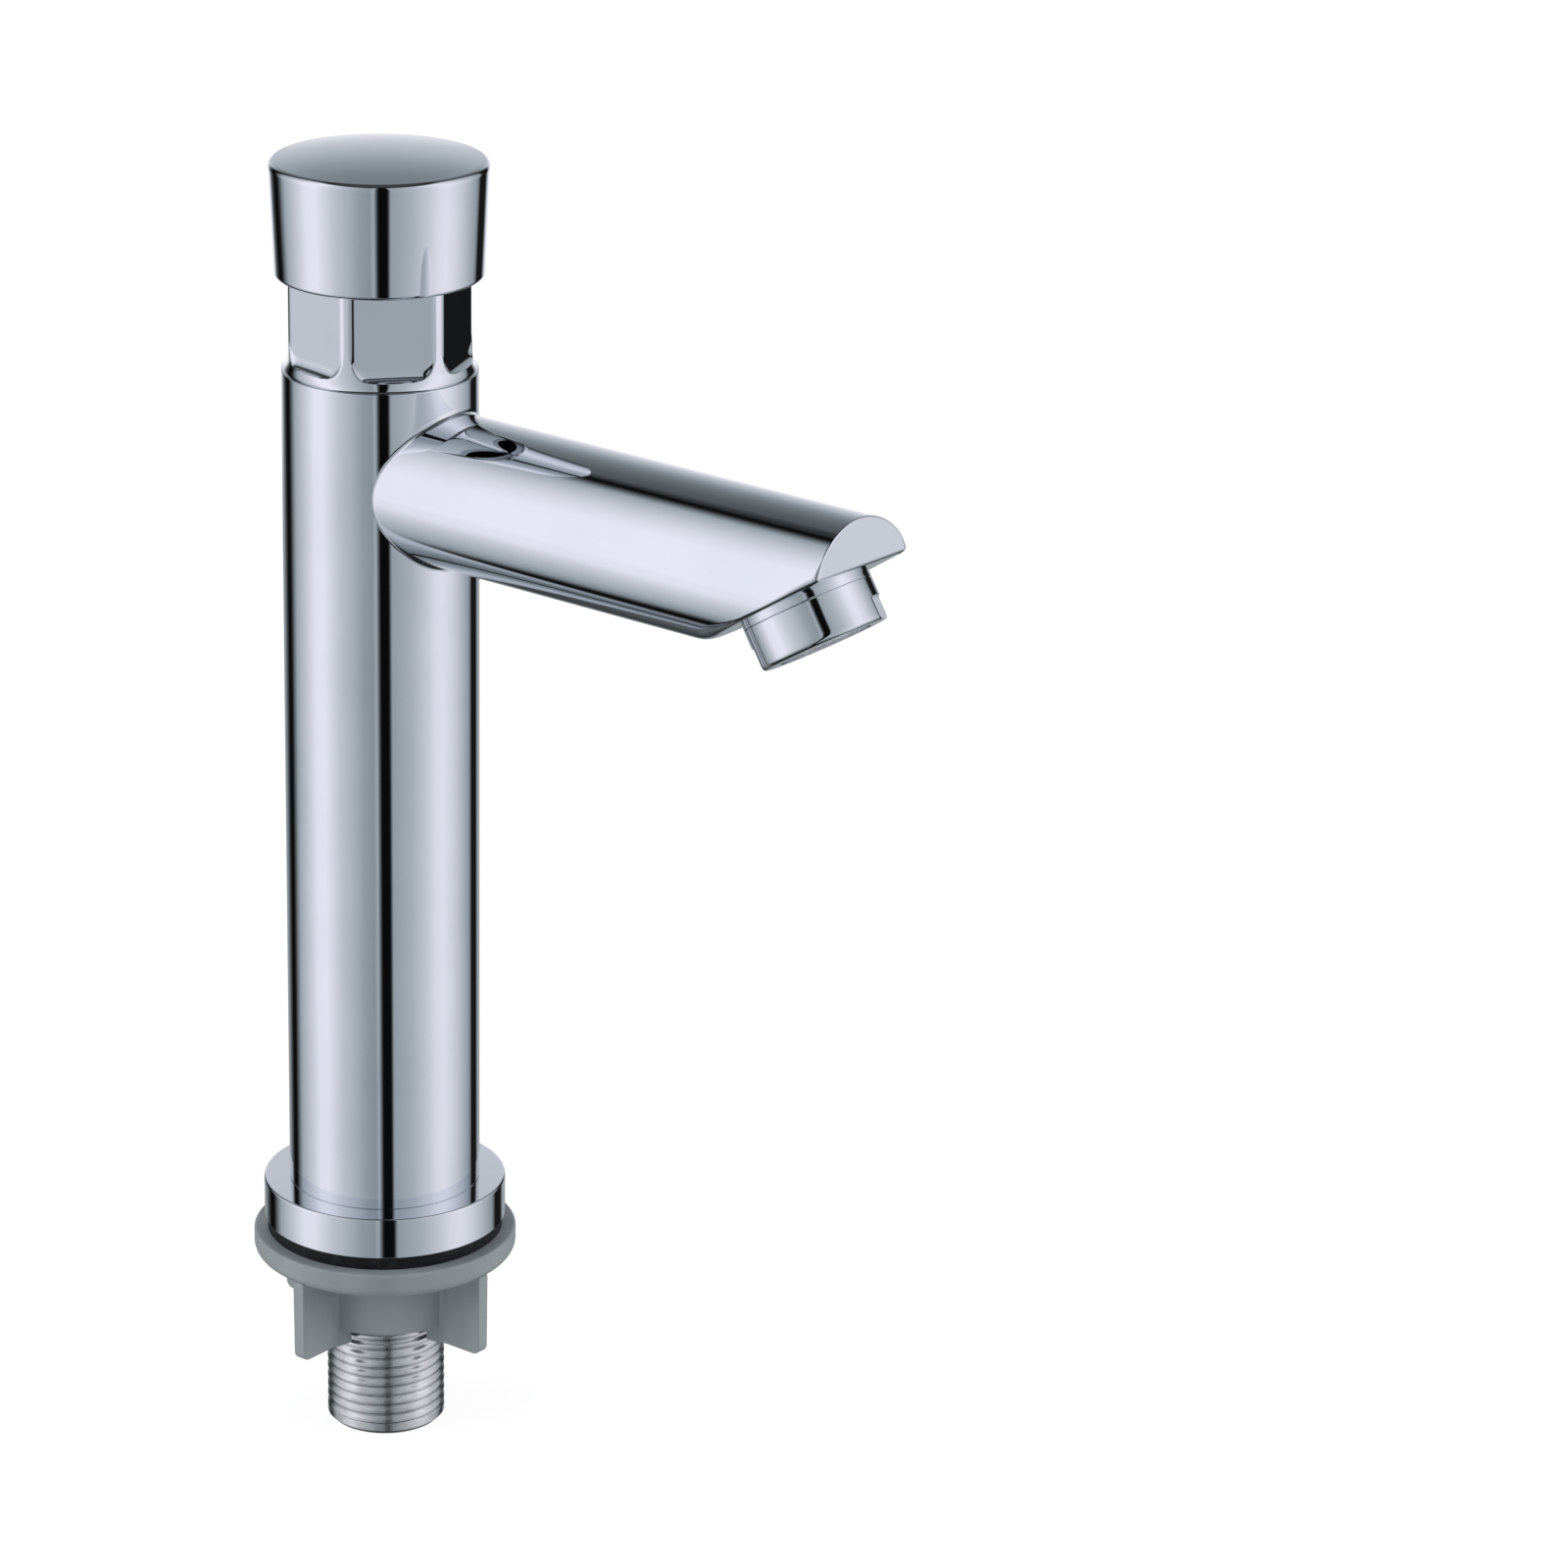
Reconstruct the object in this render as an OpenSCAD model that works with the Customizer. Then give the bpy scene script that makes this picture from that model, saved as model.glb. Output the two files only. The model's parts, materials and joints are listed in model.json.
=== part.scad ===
// Push-button, self-closing pillar tap for a basin deck, in millimetres.
// The tap stands along +Z with the deck surface at z = 0 and its spout over -Y.

/* [Base] */
// Thickness of the gasket between flange and deck
gasket_t = 2.4; // [1.5:0.1:4]
// Outer diameter of the gasket
gasket_d = 41.8; // [34:0.1:42.6]
// Outer diameter of the base flange
flange_d = 42.8; // [38:0.1:60]
// Height of the base flange
flange_t = 7.4; // [4:0.1:14]
// Radius that softens the flange's edges
flange_edge = 0.4; // [0.1:0.05:0.8]

/* [Pillar] */
// Outer diameter of the pillar
body_d = 33.7; // [32.8:0.1:37]
// Height of the pillar above the base flange
body_h = 148.6; // [110:0.1:260]
// Radius that softens the pillar's top and bottom edges
body_edge = 0.4; // [0.1:0.05:0.6]
// Diameter of the water column inside the pillar
column_d = 18; // [16:0.1:19]
// Radial clearance of the valve seat in the pillar's chamber
seat_clearance = 0.1; // [0.05:0.05:0.3]
// Depth of the valve shelf under the pillar's top
shelf_drop = 52; // [51:0.1:60]
// Depth of the socket that takes the shank
socket_l = 20; // [12:0.1:30]

/* [Spout] */
// Outer diameter of the spout
spout_d = 26.6; // [24.5:0.1:28]
// Depth of the spout's axis under the pillar's top
spout_drop = 18.4; // [18.3:0.05:22]
// Reach of the spout's upper edge from the pillar's axis
spout_reach = 103.9; // [102:0.1:125]
// Lean of the spout's end face from vertical, in degrees
end_lean = 4.8; // [0:0.1:10]
// Distance from the spout's upper edge back to the start of the underside cut
cut_back = 28.7; // [27.7:0.1:31.7]
// Rise of the underside cut, in degrees
cut_angle = 32.2; // [30:0.1:34]
// Bore of the spout
spout_bore = 19; // [14:0.1:19.6]
// Diameter of the spigot that the spout plugs into the pillar
spigot_d = 14.8; // [13:0.1:15]
// Bore of that spigot
port_d = 11.6; // [8:0.1:12]
// Bore of the passage over the outlet pocket
passage_d = 8.4; // [6:0.1:8.6]
// Height of that passage above the spout's axis
passage_rise = 6.1; // [6:0.05:6.6]

/* [Outlet] */
// Outer diameter of the outlet collar
outlet_d = 22.6; // [21.6:0.1:24]
// Height of the ring that the spout leaves around the outlet
outlet_ring_h = 1.4; // [0.8:0.1:2]
// Height of the outlet collar below that ring
outlet_h = 7.3; // [7:0.1:12]
// Distance of the outlet's centre up the underside cut
outlet_place = 20.7; // [20.2:0.05:21.8]
// Width across the two spanner flats
flats_w = 21.1; // [20.6:0.1:21.4]
// Height of the spanner flats
flats_h = 4; // [2:0.1:5]
// Direction of the flats about the outlet's axis, in degrees
flats_turn = -57; // [-180:1:180]
// Diameter of the outlet's screw thread
outlet_thread_d = 20; // [19.4:0.1:20.2]
// Length of the outlet's screw thread
outlet_thread_l = 5.2; // [4:0.1:5.6]
// Bore inside the outlet collar
outlet_bore = 17.6; // [16.6:0.1:17.8]
// Inner diameter of the lip that holds the outlet's insert
outlet_lip_d = 16; // [14:0.1:16.2]
// Height of that lip
outlet_lip_h = 1.1; // [0.6:0.1:1.4]
// Thickness of the outlet's sealing washer
outlet_washer_t = 1.8; // [1:0.1:2]
// Bore of the throat above the outlet
throat_d = 11; // [8:0.1:11.4]
// Spacing of the openings in the outlet's grid
grid_pitch = 2; // [1.8:0.1:3]
// Width of the bars between those openings
grid_bar = 0.7; // [0.5:0.05:0.9]
// Thickness of the outlet's grid
grid_t = 1; // [0.6:0.1:1.2]
// Height of the stream mixer above the grid
mixer_h = 5.4; // [4.6:0.1:5.8]
// Height of the flow disc above the mixer
flow_disc_h = 2.4; // [1.6:0.1:2.6]
// Height of the filter cup above the flow disc
filter_h = 4.6; // [3:0.1:5]

/* [Bonnet] */
// Diameter of the bonnet's foot
bonnet_foot_d = 33; // [31.6:0.1:33.1]
// Diameter of the bonnet above its flare
bonnet_d = 31.4; // [30.6:0.1:31.5]
// Height of the bonnet above the pillar
bonnet_h = 21; // [20:0.1:21.4]
// Height of the flare at the bonnet's foot
flare_h = 2.25; // [1.5:0.05:3.5]
// Width across the bonnet's six flats
hex_w = 28; // [27:0.1:29]
// Height at which the flats start above the pillar
hex_start = 1.55; // [1:0.05:3]
// Corner radius at the lower end of each flat
hex_corner = 2.6; // [1:0.1:4]
// Direction of the first flat about the pillar's axis, in degrees
hex_turn = -8.5; // [-30:0.25:30]
// Step from the chamber's wall out to the bonnet's screw thread
thread_step = 1; // [0.8:0.05:1.2]
// Length of the bonnet's screw thread
bonnet_thread_l = 9.75; // [9.6:0.05:10.6]
// Depth of the sealing ring's groove under the pillar's top
bonnet_groove_drop = 3; // [2.6:0.1:4]
// Thickness of the bonnet's roof under the pillar's top
roof_drop = 4; // [3.6:0.1:4.4]
// Width of the well in the bonnet's top
well_d = 19; // [14:0.1:20]
// Depth of the well in the bonnet's top
well_h = 8; // [7.6:0.1:8.4]

/* [Push cap] */
// Diameter at the cap's lower rim
cap_rim_d = 35.8; // [34.6:0.1:37]
// Diameter at the cap's top edge
cap_top_d = 37.4; // [36:0.1:40]
// Height of the cap's side
cap_h = 20; // [19:0.1:22]
// Height of the dome on the cap
cap_dome = 1.6; // [0.4:0.1:2.5]
// Radius that softens the cap's edges
cap_edge = 1; // [0.3:0.05:1.2]
// Radial clearance of the cap's skirt around the bonnet
cap_clearance = 0.35; // [0.25:0.05:0.5]
// Thickness of the cap's top at its edge
cap_top_t = 3.3; // [2.6:0.1:4]
// Height of the cap's rim above the pillar
rim_gap = 16.4; // [12:0.05:16.5]
// Travel of the push cap
stroke = 8; // [6:0.1:8.2]
// Diameter of the boss that takes the stem
boss_d = 12; // [9:0.1:14]
// Height of that boss
boss_h = 7.5; // [6:0.1:7.6]

/* [Stem and valve] */
// Diameter of the stem
stem_d = 6; // [5.6:0.05:6.2]
// Diameter of the stem below the spring
tail_d = 5; // [4:0.1:5.4]
// Diameter of the collar that carries the piston
stem_collar_d = 7.6; // [7:0.1:7.8]
// Thickness of that collar
stem_collar_h = 1.5; // [1:0.1:2.5]
// Width across the lock nut under the cap
lock_nut_w = 10; // [9:0.5:11]
// Thickness of that lock nut
lock_nut_h = 3; // [2:0.1:3.2]
// Outer diameter of the valve seat
seat_d = 25.8; // [24:0.1:27]
// Bore of the valve seat
seat_bore = 10; // [8:0.1:10.6]
// Thickness of the valve seat
seat_h = 4.5; // [3:0.1:5]
// Width of the seat's sealing lip
lip_w = 1.3; // [0.8:0.1:1.5]
// Height of the seat's sealing lip
lip_h = 1; // [0.6:0.1:1.4]
// Thickness of the gasket under the seat
seat_gasket_t = 1.5; // [1:0.1:2]
// Diameter of the valve washer
valve_d = 13.2; // [12.8:0.1:13.6]
// Thickness of the valve washer
valve_t = 2.5; // [1.5:0.1:3]
// Diameter of the cup that carries the valve washer
valve_cup_d = 15; // [14.6:0.1:15.2]
// Thickness of the floor of that cup
valve_cup_t = 2; // [1.2:0.1:3]
// Width across the nut under the valve cup
valve_nut_w = 8; // [7:0.5:9]
// Thickness of that nut
valve_nut_h = 3.2; // [2:0.1:4]

/* [Timing cartridge] */
// Outer diameter of the timing cylinder
cylinder_d = 20.8; // [20.4:0.1:21.4]
// Bore of the timing cylinder
cylinder_bore = 17.2; // [16.8:0.1:17.4]
// Diameter of the collar at the cylinder's top
cylinder_collar_d = 23; // [22.6:0.1:23.2]
// Height of that collar
cylinder_collar_h = 4; // [3.8:0.1:4.1]
// Thickness of the cylinder's floor
floor_t = 2; // [1.5:0.1:3]
// Height of the feet that carry the cylinder
cage_h = 8; // [6:0.1:8.4]
// Thickness of the ring under those feet
cage_ring_t = 2; // [1.5:0.1:3]
// Width of the water windows
window_w = 7; // [4:0.1:8]
// Height of the water windows above the floor
window_h = 4; // [2:0.1:5]
// Height of the piston
piston_h = 6; // [5.6:0.1:6.4]
// Height of the piston's cup seal
cup_seal_h = 3; // [2.4:0.1:3.2]
// Depth of the groove for the cup seal
cup_seal_t = 1.6; // [1.2:0.1:1.8]
// Diameter of the metering pin
metering_pin_d = 1; // [0.8:0.05:1]
// Distance of the metering pin from the stem's axis
metering_r = 4.6; // [4.5:0.05:4.8]
// Thickness of the retaining clip on the stem
clip_t = 0.8; // [0.6:0.05:1]
// Outer diameter of that clip
clip_d = 8; // [7.4:0.1:8]
// Thickness of the spring's wire
wire_d = 1.4; // [1:0.05:1.5]
// Mean diameter of the return spring
spring_d = 13.4; // [12.8:0.1:14]
// Working turns of the return spring
spring_turns = 5; // [3:1:5]
// Thickness of the washer under the spring
spring_washer_t = 0.8; // [0.5:0.1:1]

/* [Stem seals] */
// Outer diameter of the stem's guide bush
bush_d = 12; // [10:0.1:14]
// Length of the guide bush above its flange
bush_l = 8; // [6:0.1:8.4]
// Diameter of the bush's flange
bush_flange_d = 22; // [20:0.1:22.8]
// Thickness of the bush's flange
bush_flange_t = 1.5; // [1:0.1:1.8]
// Thickness of the stem's sealing ring
stem_ring_t = 2; // [1.5:0.1:2]
// Diameter of the stem's wiper
wiper_d = 12; // [10:0.1:13]
// Thickness of the stem's wiper
wiper_t = 2.6; // [2:0.1:2.8]

/* [Backnut] */
// Outer diameter of the backnut's flange
nut_flange_d = 46.6; // [42:0.1:60]
// Thickness of the backnut's flange
nut_flange_t = 4.7; // [3:0.1:7]
// Diameter of the backnut's hub
nut_hub_d = 28.6; // [26:0.1:34]
// Height of the hub below the flange
nut_hub_h = 11.1; // [8:0.1:13]
// Reach of the backnut's wings from the axis
wing_r = 23.2; // [19:0.1:23.3]
// Thickness of the wings
wing_t = 2.5; // [2:0.1:4]
// Height of the wings below the flange
wing_h = 14.3; // [13.2:0.1:18]
// Number of wings
wings = 4; // [3:1:6]
// Direction of the first wing about the axis, in degrees
wing_turn = 0.8; // [-45:0.1:45]

/* [Shank] */
// Outer diameter of the shank's pipe thread
thread_d = 20.955; // [20:0.005:21]
// Pitch of the pipe thread
thread_pitch = 1.814; // [1.5:0.001:2]
// Depth of the pipe thread
thread_depth = 1.162; // [0.8:0.001:1.2]
// Length of the shank below the deck surface
shank_l = 37.1; // [34:0.1:60]
// Bore of the shank
shank_bore = 14.5; // [12:0.1:15]
// Chamfer at the shank's lower end
shank_chamfer = 0.8; // [0.5:0.1:1.5]
// Depth of the sealing ring's groove under the shank's top end
shank_groove_drop = 6; // [4:0.1:12]
// Length of the plain pilot under the thread
pilot_l = 1.6; // [1.2:0.1:3]
// Diameter of the strainer's flange
strainer_flange_d = 17; // [16:0.1:17.4]
// Thickness of the strainer's flange
strainer_flange_t = 1.5; // [1:0.1:2.5]
// Diameter of the strainer's cup
strainer_d = 13.4; // [11:0.1:13.8]
// Length of the strainer's cup
strainer_l = 13; // [8:0.1:18]
// Wall of the strainer
strainer_wall = 1; // [0.6:0.1:1.2]
// Number of slots around the strainer
strainer_slots = 12; // [6:1:16]

/* [Fits] */
// Radial clearance of pieces that slide or turn
slide_gap = 0.05; // [0.02:0.01:0.08]
// Radial clearance of pieces that are assembled for good
snug_gap = 0.05; // [0.02:0.01:0.1]
// Section of the sealing rings
ring_t = 1.6; // [1.4:0.05:1.7]
// Clearance of a sealing ring in its groove
ring_gap = 0.05; // [0.03:0.01:0.1]
// Free height above the raised piston
rest_gap = 0.3; // [0.2:0.05:0.6]
// Gap between the closed valve's washer and its seat
valve_gap = 0.05; // [0.02:0.01:0.1]

/* [Hidden] */
$fn = 96;

// Colours as the photograph shows them, and plain ones for what is inside
chrome_tone = [0.80, 0.82, 0.86];
steel_tone = [0.66, 0.65, 0.63];
brass_tone = [0.78, 0.64, 0.34];
grey_tone = [0.52, 0.56, 0.56];
black_tone = [0.07, 0.07, 0.08];
white_tone = [0.90, 0.90, 0.87];
blue_tone = [0.25, 0.42, 0.62];

// Small extra depth that lets a cutter pass right through a face
past = 1;

// Radii
body_r = body_d / 2;
spout_r = spout_d / 2;
shank_r = thread_d / 2;
stem_r = stem_d / 2;
tail_r = tail_d / 2;
chamber_r = seat_d / 2 + seat_clearance;
cap_bore_r = bonnet_d / 2 + cap_clearance;
outlet_r = outlet_d / 2;
bonnet_thread_r = chamber_r + thread_step;

// Heights, from the deck surface up
flange_z = gasket_t;
body_z = flange_z + flange_t;
top_z = body_z + body_h;
socket_top_z = body_z + socket_l;
spout_z = top_z - spout_drop;
shelf_z = top_z - shelf_drop;
bonnet_top_z = top_z + bonnet_h;
bonnet_low_z = top_z - bonnet_thread_l;
thread_bore_z = bonnet_low_z - 0.25;
well_z = bonnet_top_z - well_h;
rim_z = top_z + rim_gap;
cap_edge_z = rim_z + cap_h;
cap_roof_z = cap_edge_z - cap_top_t;
boss_z = cap_roof_z - boss_h;

// The cartridge stands on the shelf: gasket, seat, cage ring, feet, floor, cylinder
seat_z = shelf_z + seat_gasket_t;
seat_top_z = seat_z + seat_h;
cage_z = seat_top_z + cage_ring_t;
floor_z = cage_z + cage_h;
floor_top_z = floor_z + floor_t;
wiper_z = well_z - wiper_t;
roof_z = top_z - roof_drop;
cylinder_top_z = roof_z - bush_flange_t;
collar_z = cylinder_top_z - cylinder_collar_h;
piston_top_z = cylinder_top_z - rest_gap - clip_t;
piston_z = piston_top_z - piston_h;
stem_collar_z = piston_z - stem_collar_h;
lip_z = seat_z - lip_h;
valve_z = lip_z - valve_gap - valve_t;
valve_cup_z = valve_z - valve_cup_t;
valve_nut_z = valve_cup_z - valve_nut_h;
stem_low_z = valve_nut_z - 1;
stem_high_z = cap_roof_z + 1;
spring_z = floor_top_z + spring_washer_t;
spring_l = piston_z - spring_z;

// The underside cut in the spout's side view, where x is the distance from the pillar's axis
cut_low_z = spout_z - spout_r;
spout_top_z = spout_z + spout_r;
cut_rise = tan(cut_angle);
cut_start = spout_reach - cut_back;
end_face_l = (spout_top_z - cut_low_z - cut_back * cut_rise)
    / (cos(end_lean) + sin(end_lean) * cut_rise);
tip_x = spout_reach + end_face_l * sin(end_lean);
tip_z = spout_top_z - end_face_l * cos(end_lean);
outlet_x = cut_start + outlet_place * cos(cut_angle);
outlet_z = cut_low_z + outlet_place * sin(cut_angle);
pocket_h = outlet_thread_l + outlet_washer_t;
throat_h = pocket_h + 5;
passage_end_x = outlet_x - pocket_h * sin(cut_angle) - 3.8;
main_bore_end_x = cut_start + 1.5;
outlet_low = -outlet_ring_h - outlet_h;
grid_z = outlet_low + outlet_lip_h;
mixer_z = grid_z + grid_t;
flow_disc_z = mixer_z + mixer_h;
filter_z = flow_disc_z + flow_disc_h;

// Points on an arc about a centre, from one angle to another
function arc(centre, r, from, to, steps = 6) = [for (i = [0:steps])
    centre + r * [cos(from + (to - from) * i / steps), sin(from + (to - from) * i / steps)]];

// A ring with a square section
module ring(inner_r, outer_r, z, h) {
    rotate_extrude() translate([inner_r, z]) square([outer_r - inner_r, h]);
}

// A solid turned from points of radius and height
module turned(points) {
    rotate_extrude() polygon(points);
}

// A sealing ring with a round section that fills a groove from its floor to the bore
module seal_ring(floor_r, bore_r, z, h) {
    section_r = min(bore_r - floor_r, h) / 2 - ring_gap;
    translate([0, 0, z + h / 2])
        rotate_extrude() translate([(floor_r + bore_r) / 2, 0]) circle(r = section_r, $fn = 32);
}

// Turns a drawing of the side view, x outward and y up, into a slab across the spout
module side_view(width) {
    rotate([0, 0, -90]) rotate([90, 0, 0]) translate([0, 0, -width / 2])
        linear_extrude(width) children();
}

// A cylinder along the spout
module along_spout(r, from, to, z) {
    translate([0, -from, z]) rotate([90, 0, 0]) cylinder(r = r, h = to - from);
}

// Moves to the outlet's centre on the underside cut, with +Z up into the spout
module at_outlet() {
    translate([0, -outlet_x, outlet_z]) rotate([-cut_angle, 0, 0]) children();
}

// A hexagon prism, by its width across the flats
module hex(width, z, h) {
    translate([0, 0, z]) cylinder(r = width / 2 / cos(30), h = h, $fn = 6);
}

// Pillar with its column, valve chamber and sockets
module pillar_body() {
    color(chrome_tone) difference() {
        turned(concat(
            [[shank_r + snug_gap, body_z]],
            arc([body_r - body_edge, body_z + body_edge], body_edge, -90, 0, 4),
            arc([body_r - body_edge, top_z - body_edge], body_edge, 0, 90, 4),
            [[bonnet_thread_r + snug_gap, top_z],
            [bonnet_thread_r + snug_gap, thread_bore_z],
            [chamber_r, thread_bore_z],
            [chamber_r, shelf_z],
            [column_d / 2, shelf_z],
            [column_d / 2, socket_top_z],
            [shank_r + snug_gap, socket_top_z]]));
        along_spout(spigot_d / 2 + snug_gap, 0, body_r + past, spout_z);
    }
}

// Flange that spreads the pillar's load on the deck
module base_flange() {
    color(chrome_tone) turned(concat(
        [[shank_r + 0.2, flange_z]],
        arc([flange_d / 2 - flange_edge, flange_z + flange_edge], flange_edge, -90, 0, 4),
        arc([flange_d / 2 - flange_edge, body_z - flange_edge], flange_edge, 0, 90, 4),
        [[shank_r + 0.2, body_z]]));
}

// Rubber gasket under the flange
module base_gasket() {
    color(black_tone) ring(shank_r + 0.2, gasket_d / 2, 0, gasket_t);
}

// Plastic nut with wings that clamps the tap from under the deck
module backnut() {
    hub_z = -nut_flange_t - nut_hub_h;
    wing_z = -nut_flange_t - wing_h;
    edge = 0.6;
    color(grey_tone) difference() {
        union() {
            turned(concat(
                [[shank_r, hub_z]],
                [[nut_hub_d / 2, hub_z]],
                [[nut_hub_d / 2, -nut_flange_t]],
                arc([nut_flange_d / 2 - edge, -nut_flange_t + edge], edge, -90, 0, 4),
                arc([nut_flange_d / 2 - edge, -edge], edge, 0, 90, 4),
                [[shank_r, 0]]));
            for (i = [0:wings - 1])
                rotate([0, 0, wing_turn + i * 360 / wings])
                    translate([shank_r, -wing_t / 2, wing_z])
                        cube([wing_r - shank_r, wing_t, wing_h + nut_flange_t / 2]);
        }
        translate([0, 0, wing_z - past])
            cylinder(r = shank_r + slide_gap, h = wing_h + nut_flange_t + 2 * past);
        translate([0, 0, wing_z - past])
            cylinder(r = shank_r + 0.6, h = hub_z - wing_z + past);
    }
}

// Threaded shank: its thread is drawn as grooves, one for each turn
module threaded_shank() {
    crest = thread_pitch / 6;
    first = -shank_l + shank_chamfer + pilot_l;
    turns = floor((-first - crest) / thread_pitch);
    groove_z = socket_top_z - shank_groove_drop;
    counter_z = socket_top_z - strainer_flange_t;
    color(steel_tone) difference() {
        turned(concat(
            [[shank_bore / 2, -shank_l],
            [shank_r - shank_chamfer, -shank_l],
            [shank_r, -shank_l + shank_chamfer]],
            [for (i = [0:turns - 1], step = [0:3])
                [shank_r - (step == 1 || step == 2 ? thread_depth : 0),
                first + i * thread_pitch
                    + [0, 0.42, 0.58, 1][step] * (thread_pitch - crest)]],
            [[shank_r, groove_z],
            [shank_r - ring_t, groove_z],
            [shank_r - ring_t, groove_z + ring_t + 2 * ring_gap],
            [shank_r, groove_z + ring_t + 2 * ring_gap],
            [shank_r, socket_top_z],
            [strainer_flange_d / 2 + snug_gap, socket_top_z],
            [strainer_flange_d / 2 + snug_gap, counter_z],
            [shank_bore / 2, counter_z]]));
    }
}

// Sealing ring between shank and pillar
module shank_seal_ring() {
    color(black_tone)
        seal_ring(shank_r - ring_t, shank_r + snug_gap, socket_top_z - shank_groove_drop,
            ring_t + 2 * ring_gap);
}

// Strainer cup in the shank's top end
module inlet_strainer() {
    top = socket_top_z;
    low = top - strainer_flange_t - strainer_l;
    r = strainer_d / 2;
    slot_w = PI * strainer_d / strainer_slots / 3;
    color(white_tone) difference() {
        turned([[0, low], [r, low], [r, top - strainer_flange_t],
            [strainer_flange_d / 2, top - strainer_flange_t], [strainer_flange_d / 2, top],
            [r - strainer_wall, top], [r - strainer_wall, low + strainer_wall],
            [0, low + strainer_wall]]);
        for (i = [0:strainer_slots - 1])
            rotate([0, 0, i * 360 / strainer_slots])
                translate([r - strainer_wall * 2, -slot_w / 2, low + strainer_wall * 2])
                    cube([strainer_wall * 3, slot_w, strainer_l - strainer_wall * 4]);
    }
}

// Spout: a cylinder with a slanting underside, an outlet pocket and a plugged-in root
module spout() {
    color(chrome_tone) difference() {
        union() {
            difference() {
                intersection() {
                    along_spout(spout_r, 0, tip_x + past, spout_z);
                    side_view(spout_d + 2 * past) polygon([[0, cut_low_z - past],
                        [cut_start - past / cut_rise, cut_low_z - past], [tip_x, tip_z],
                        [spout_reach - past * sin(end_lean), spout_top_z + past * cos(end_lean)],
                        [0, spout_top_z + past]]);
                }
                translate([0, 0, cut_low_z - past])
                    cylinder(r = body_r + snug_gap, h = spout_d + 2 * past);
            }
            along_spout(spigot_d / 2, chamber_r + 0.4, body_r + 2, spout_z);
            at_outlet() translate([0, 0, -outlet_ring_h])
                cylinder(r = outlet_r, h = outlet_ring_h + 1);
        }
        along_spout(port_d / 2, 0, body_r + 5, spout_z);
        along_spout(spout_bore / 2, body_r + 4, main_bore_end_x, spout_z);
        along_spout(passage_d / 2, main_bore_end_x - 4, passage_end_x, spout_z + passage_rise);
        at_outlet() translate([0, 0, -outlet_ring_h - past])
            cylinder(r = outlet_thread_d / 2 + snug_gap, h = pocket_h + outlet_ring_h + past);
        at_outlet() cylinder(r = throat_d / 2, h = throat_h);
    }
}

// Outlet collar that screws into the spout and holds the insert
module aerator_housing() {
    edge = 0.35;
    color(chrome_tone) at_outlet() difference() {
        turned(concat(
            [[outlet_lip_d / 2, outlet_low]],
            arc([outlet_r - edge, outlet_low + edge], edge, -90, 0, 4),
            [[outlet_r, -outlet_ring_h - edge],
            [outlet_r - edge, -outlet_ring_h],
            [outlet_thread_d / 2, -outlet_ring_h],
            [outlet_thread_d / 2, outlet_thread_l],
            [outlet_bore / 2, outlet_thread_l],
            [outlet_bore / 2, grid_z],
            [outlet_lip_d / 2, grid_z]]));
        for (side = [0, 180])
            rotate([0, 0, flats_turn + side])
                translate([flats_w / 2, -outlet_r, outlet_low - past])
                    cube([outlet_r, outlet_d, flats_h + past]);
    }
}

// Rubber washer between the outlet collar and the pocket's roof
module aerator_washer() {
    color(black_tone) at_outlet()
        ring(outlet_bore / 2 - 0.6, outlet_thread_d / 2 - 0.2, outlet_thread_l, outlet_washer_t);
}

// Grid that the stream leaves through
module aerator_grid() {
    r = outlet_bore / 2 - snug_gap;
    field_r = outlet_lip_d / 2 - grid_bar;
    count = floor(field_r / grid_pitch);
    hole = grid_pitch - grid_bar;
    color(white_tone) at_outlet() difference() {
        translate([0, 0, grid_z]) cylinder(r = r, h = grid_t);
        for (i = [-count:count], j = [-count:count])
            if (norm([i, j]) * grid_pitch + hole * 0.71 < field_r)
                translate([i * grid_pitch - hole / 2, j * grid_pitch - hole / 2, grid_z - past])
                    cube([hole, hole, grid_t + 2 * past]);
    }
}

// Mixer above the grid: a sleeve with a spoked plate
module aerator_mixer() {
    r = outlet_bore / 2 - snug_gap;
    plate_z = flow_disc_z - 1.4;
    color(white_tone) at_outlet() union() {
        ring(r - 1, r, mixer_z, mixer_h);
        difference() {
            ring(0, r - 0.5, plate_z, 1.4);
            for (i = [0:7])
                rotate([0, 0, i * 45]) translate([r * 0.6, 0, plate_z - past])
                    cylinder(r = 1.1, h = 1.4 + 2 * past);
        }
    }
}

// Disc that limits the flow
module flow_disc() {
    r = outlet_bore / 2 - snug_gap;
    color(blue_tone) at_outlet() difference() {
        ring(0, r, flow_disc_z, flow_disc_h);
        for (i = [0:5])
            rotate([0, 0, i * 60]) translate([r * 0.45, 0, flow_disc_z - past])
                cylinder(r = 0.9, h = flow_disc_h + 2 * past);
    }
}

// Slotted filter cup above the flow disc
module aerator_filter() {
    flange_r = outlet_bore / 2 - 1;
    cup_r = throat_d / 2 - 0.4;
    inner_r = cup_r - 1;
    top = filter_z + filter_h;
    slot_h = filter_h - 3;
    color(white_tone) at_outlet() difference() {
        turned([[inner_r, filter_z], [flange_r, filter_z], [flange_r, filter_z + 1],
            [cup_r, filter_z + 1], [cup_r, top - 0.8], [cup_r - 0.8, top], [0, top],
            [0, top - 1], [inner_r, top - 1]]);
        for (i = [0:9])
            rotate([0, 0, i * 36]) translate([inner_r - 1, -0.4, filter_z + 1.5])
                cube([3, 0.8, slot_h]);
    }
}

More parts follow.
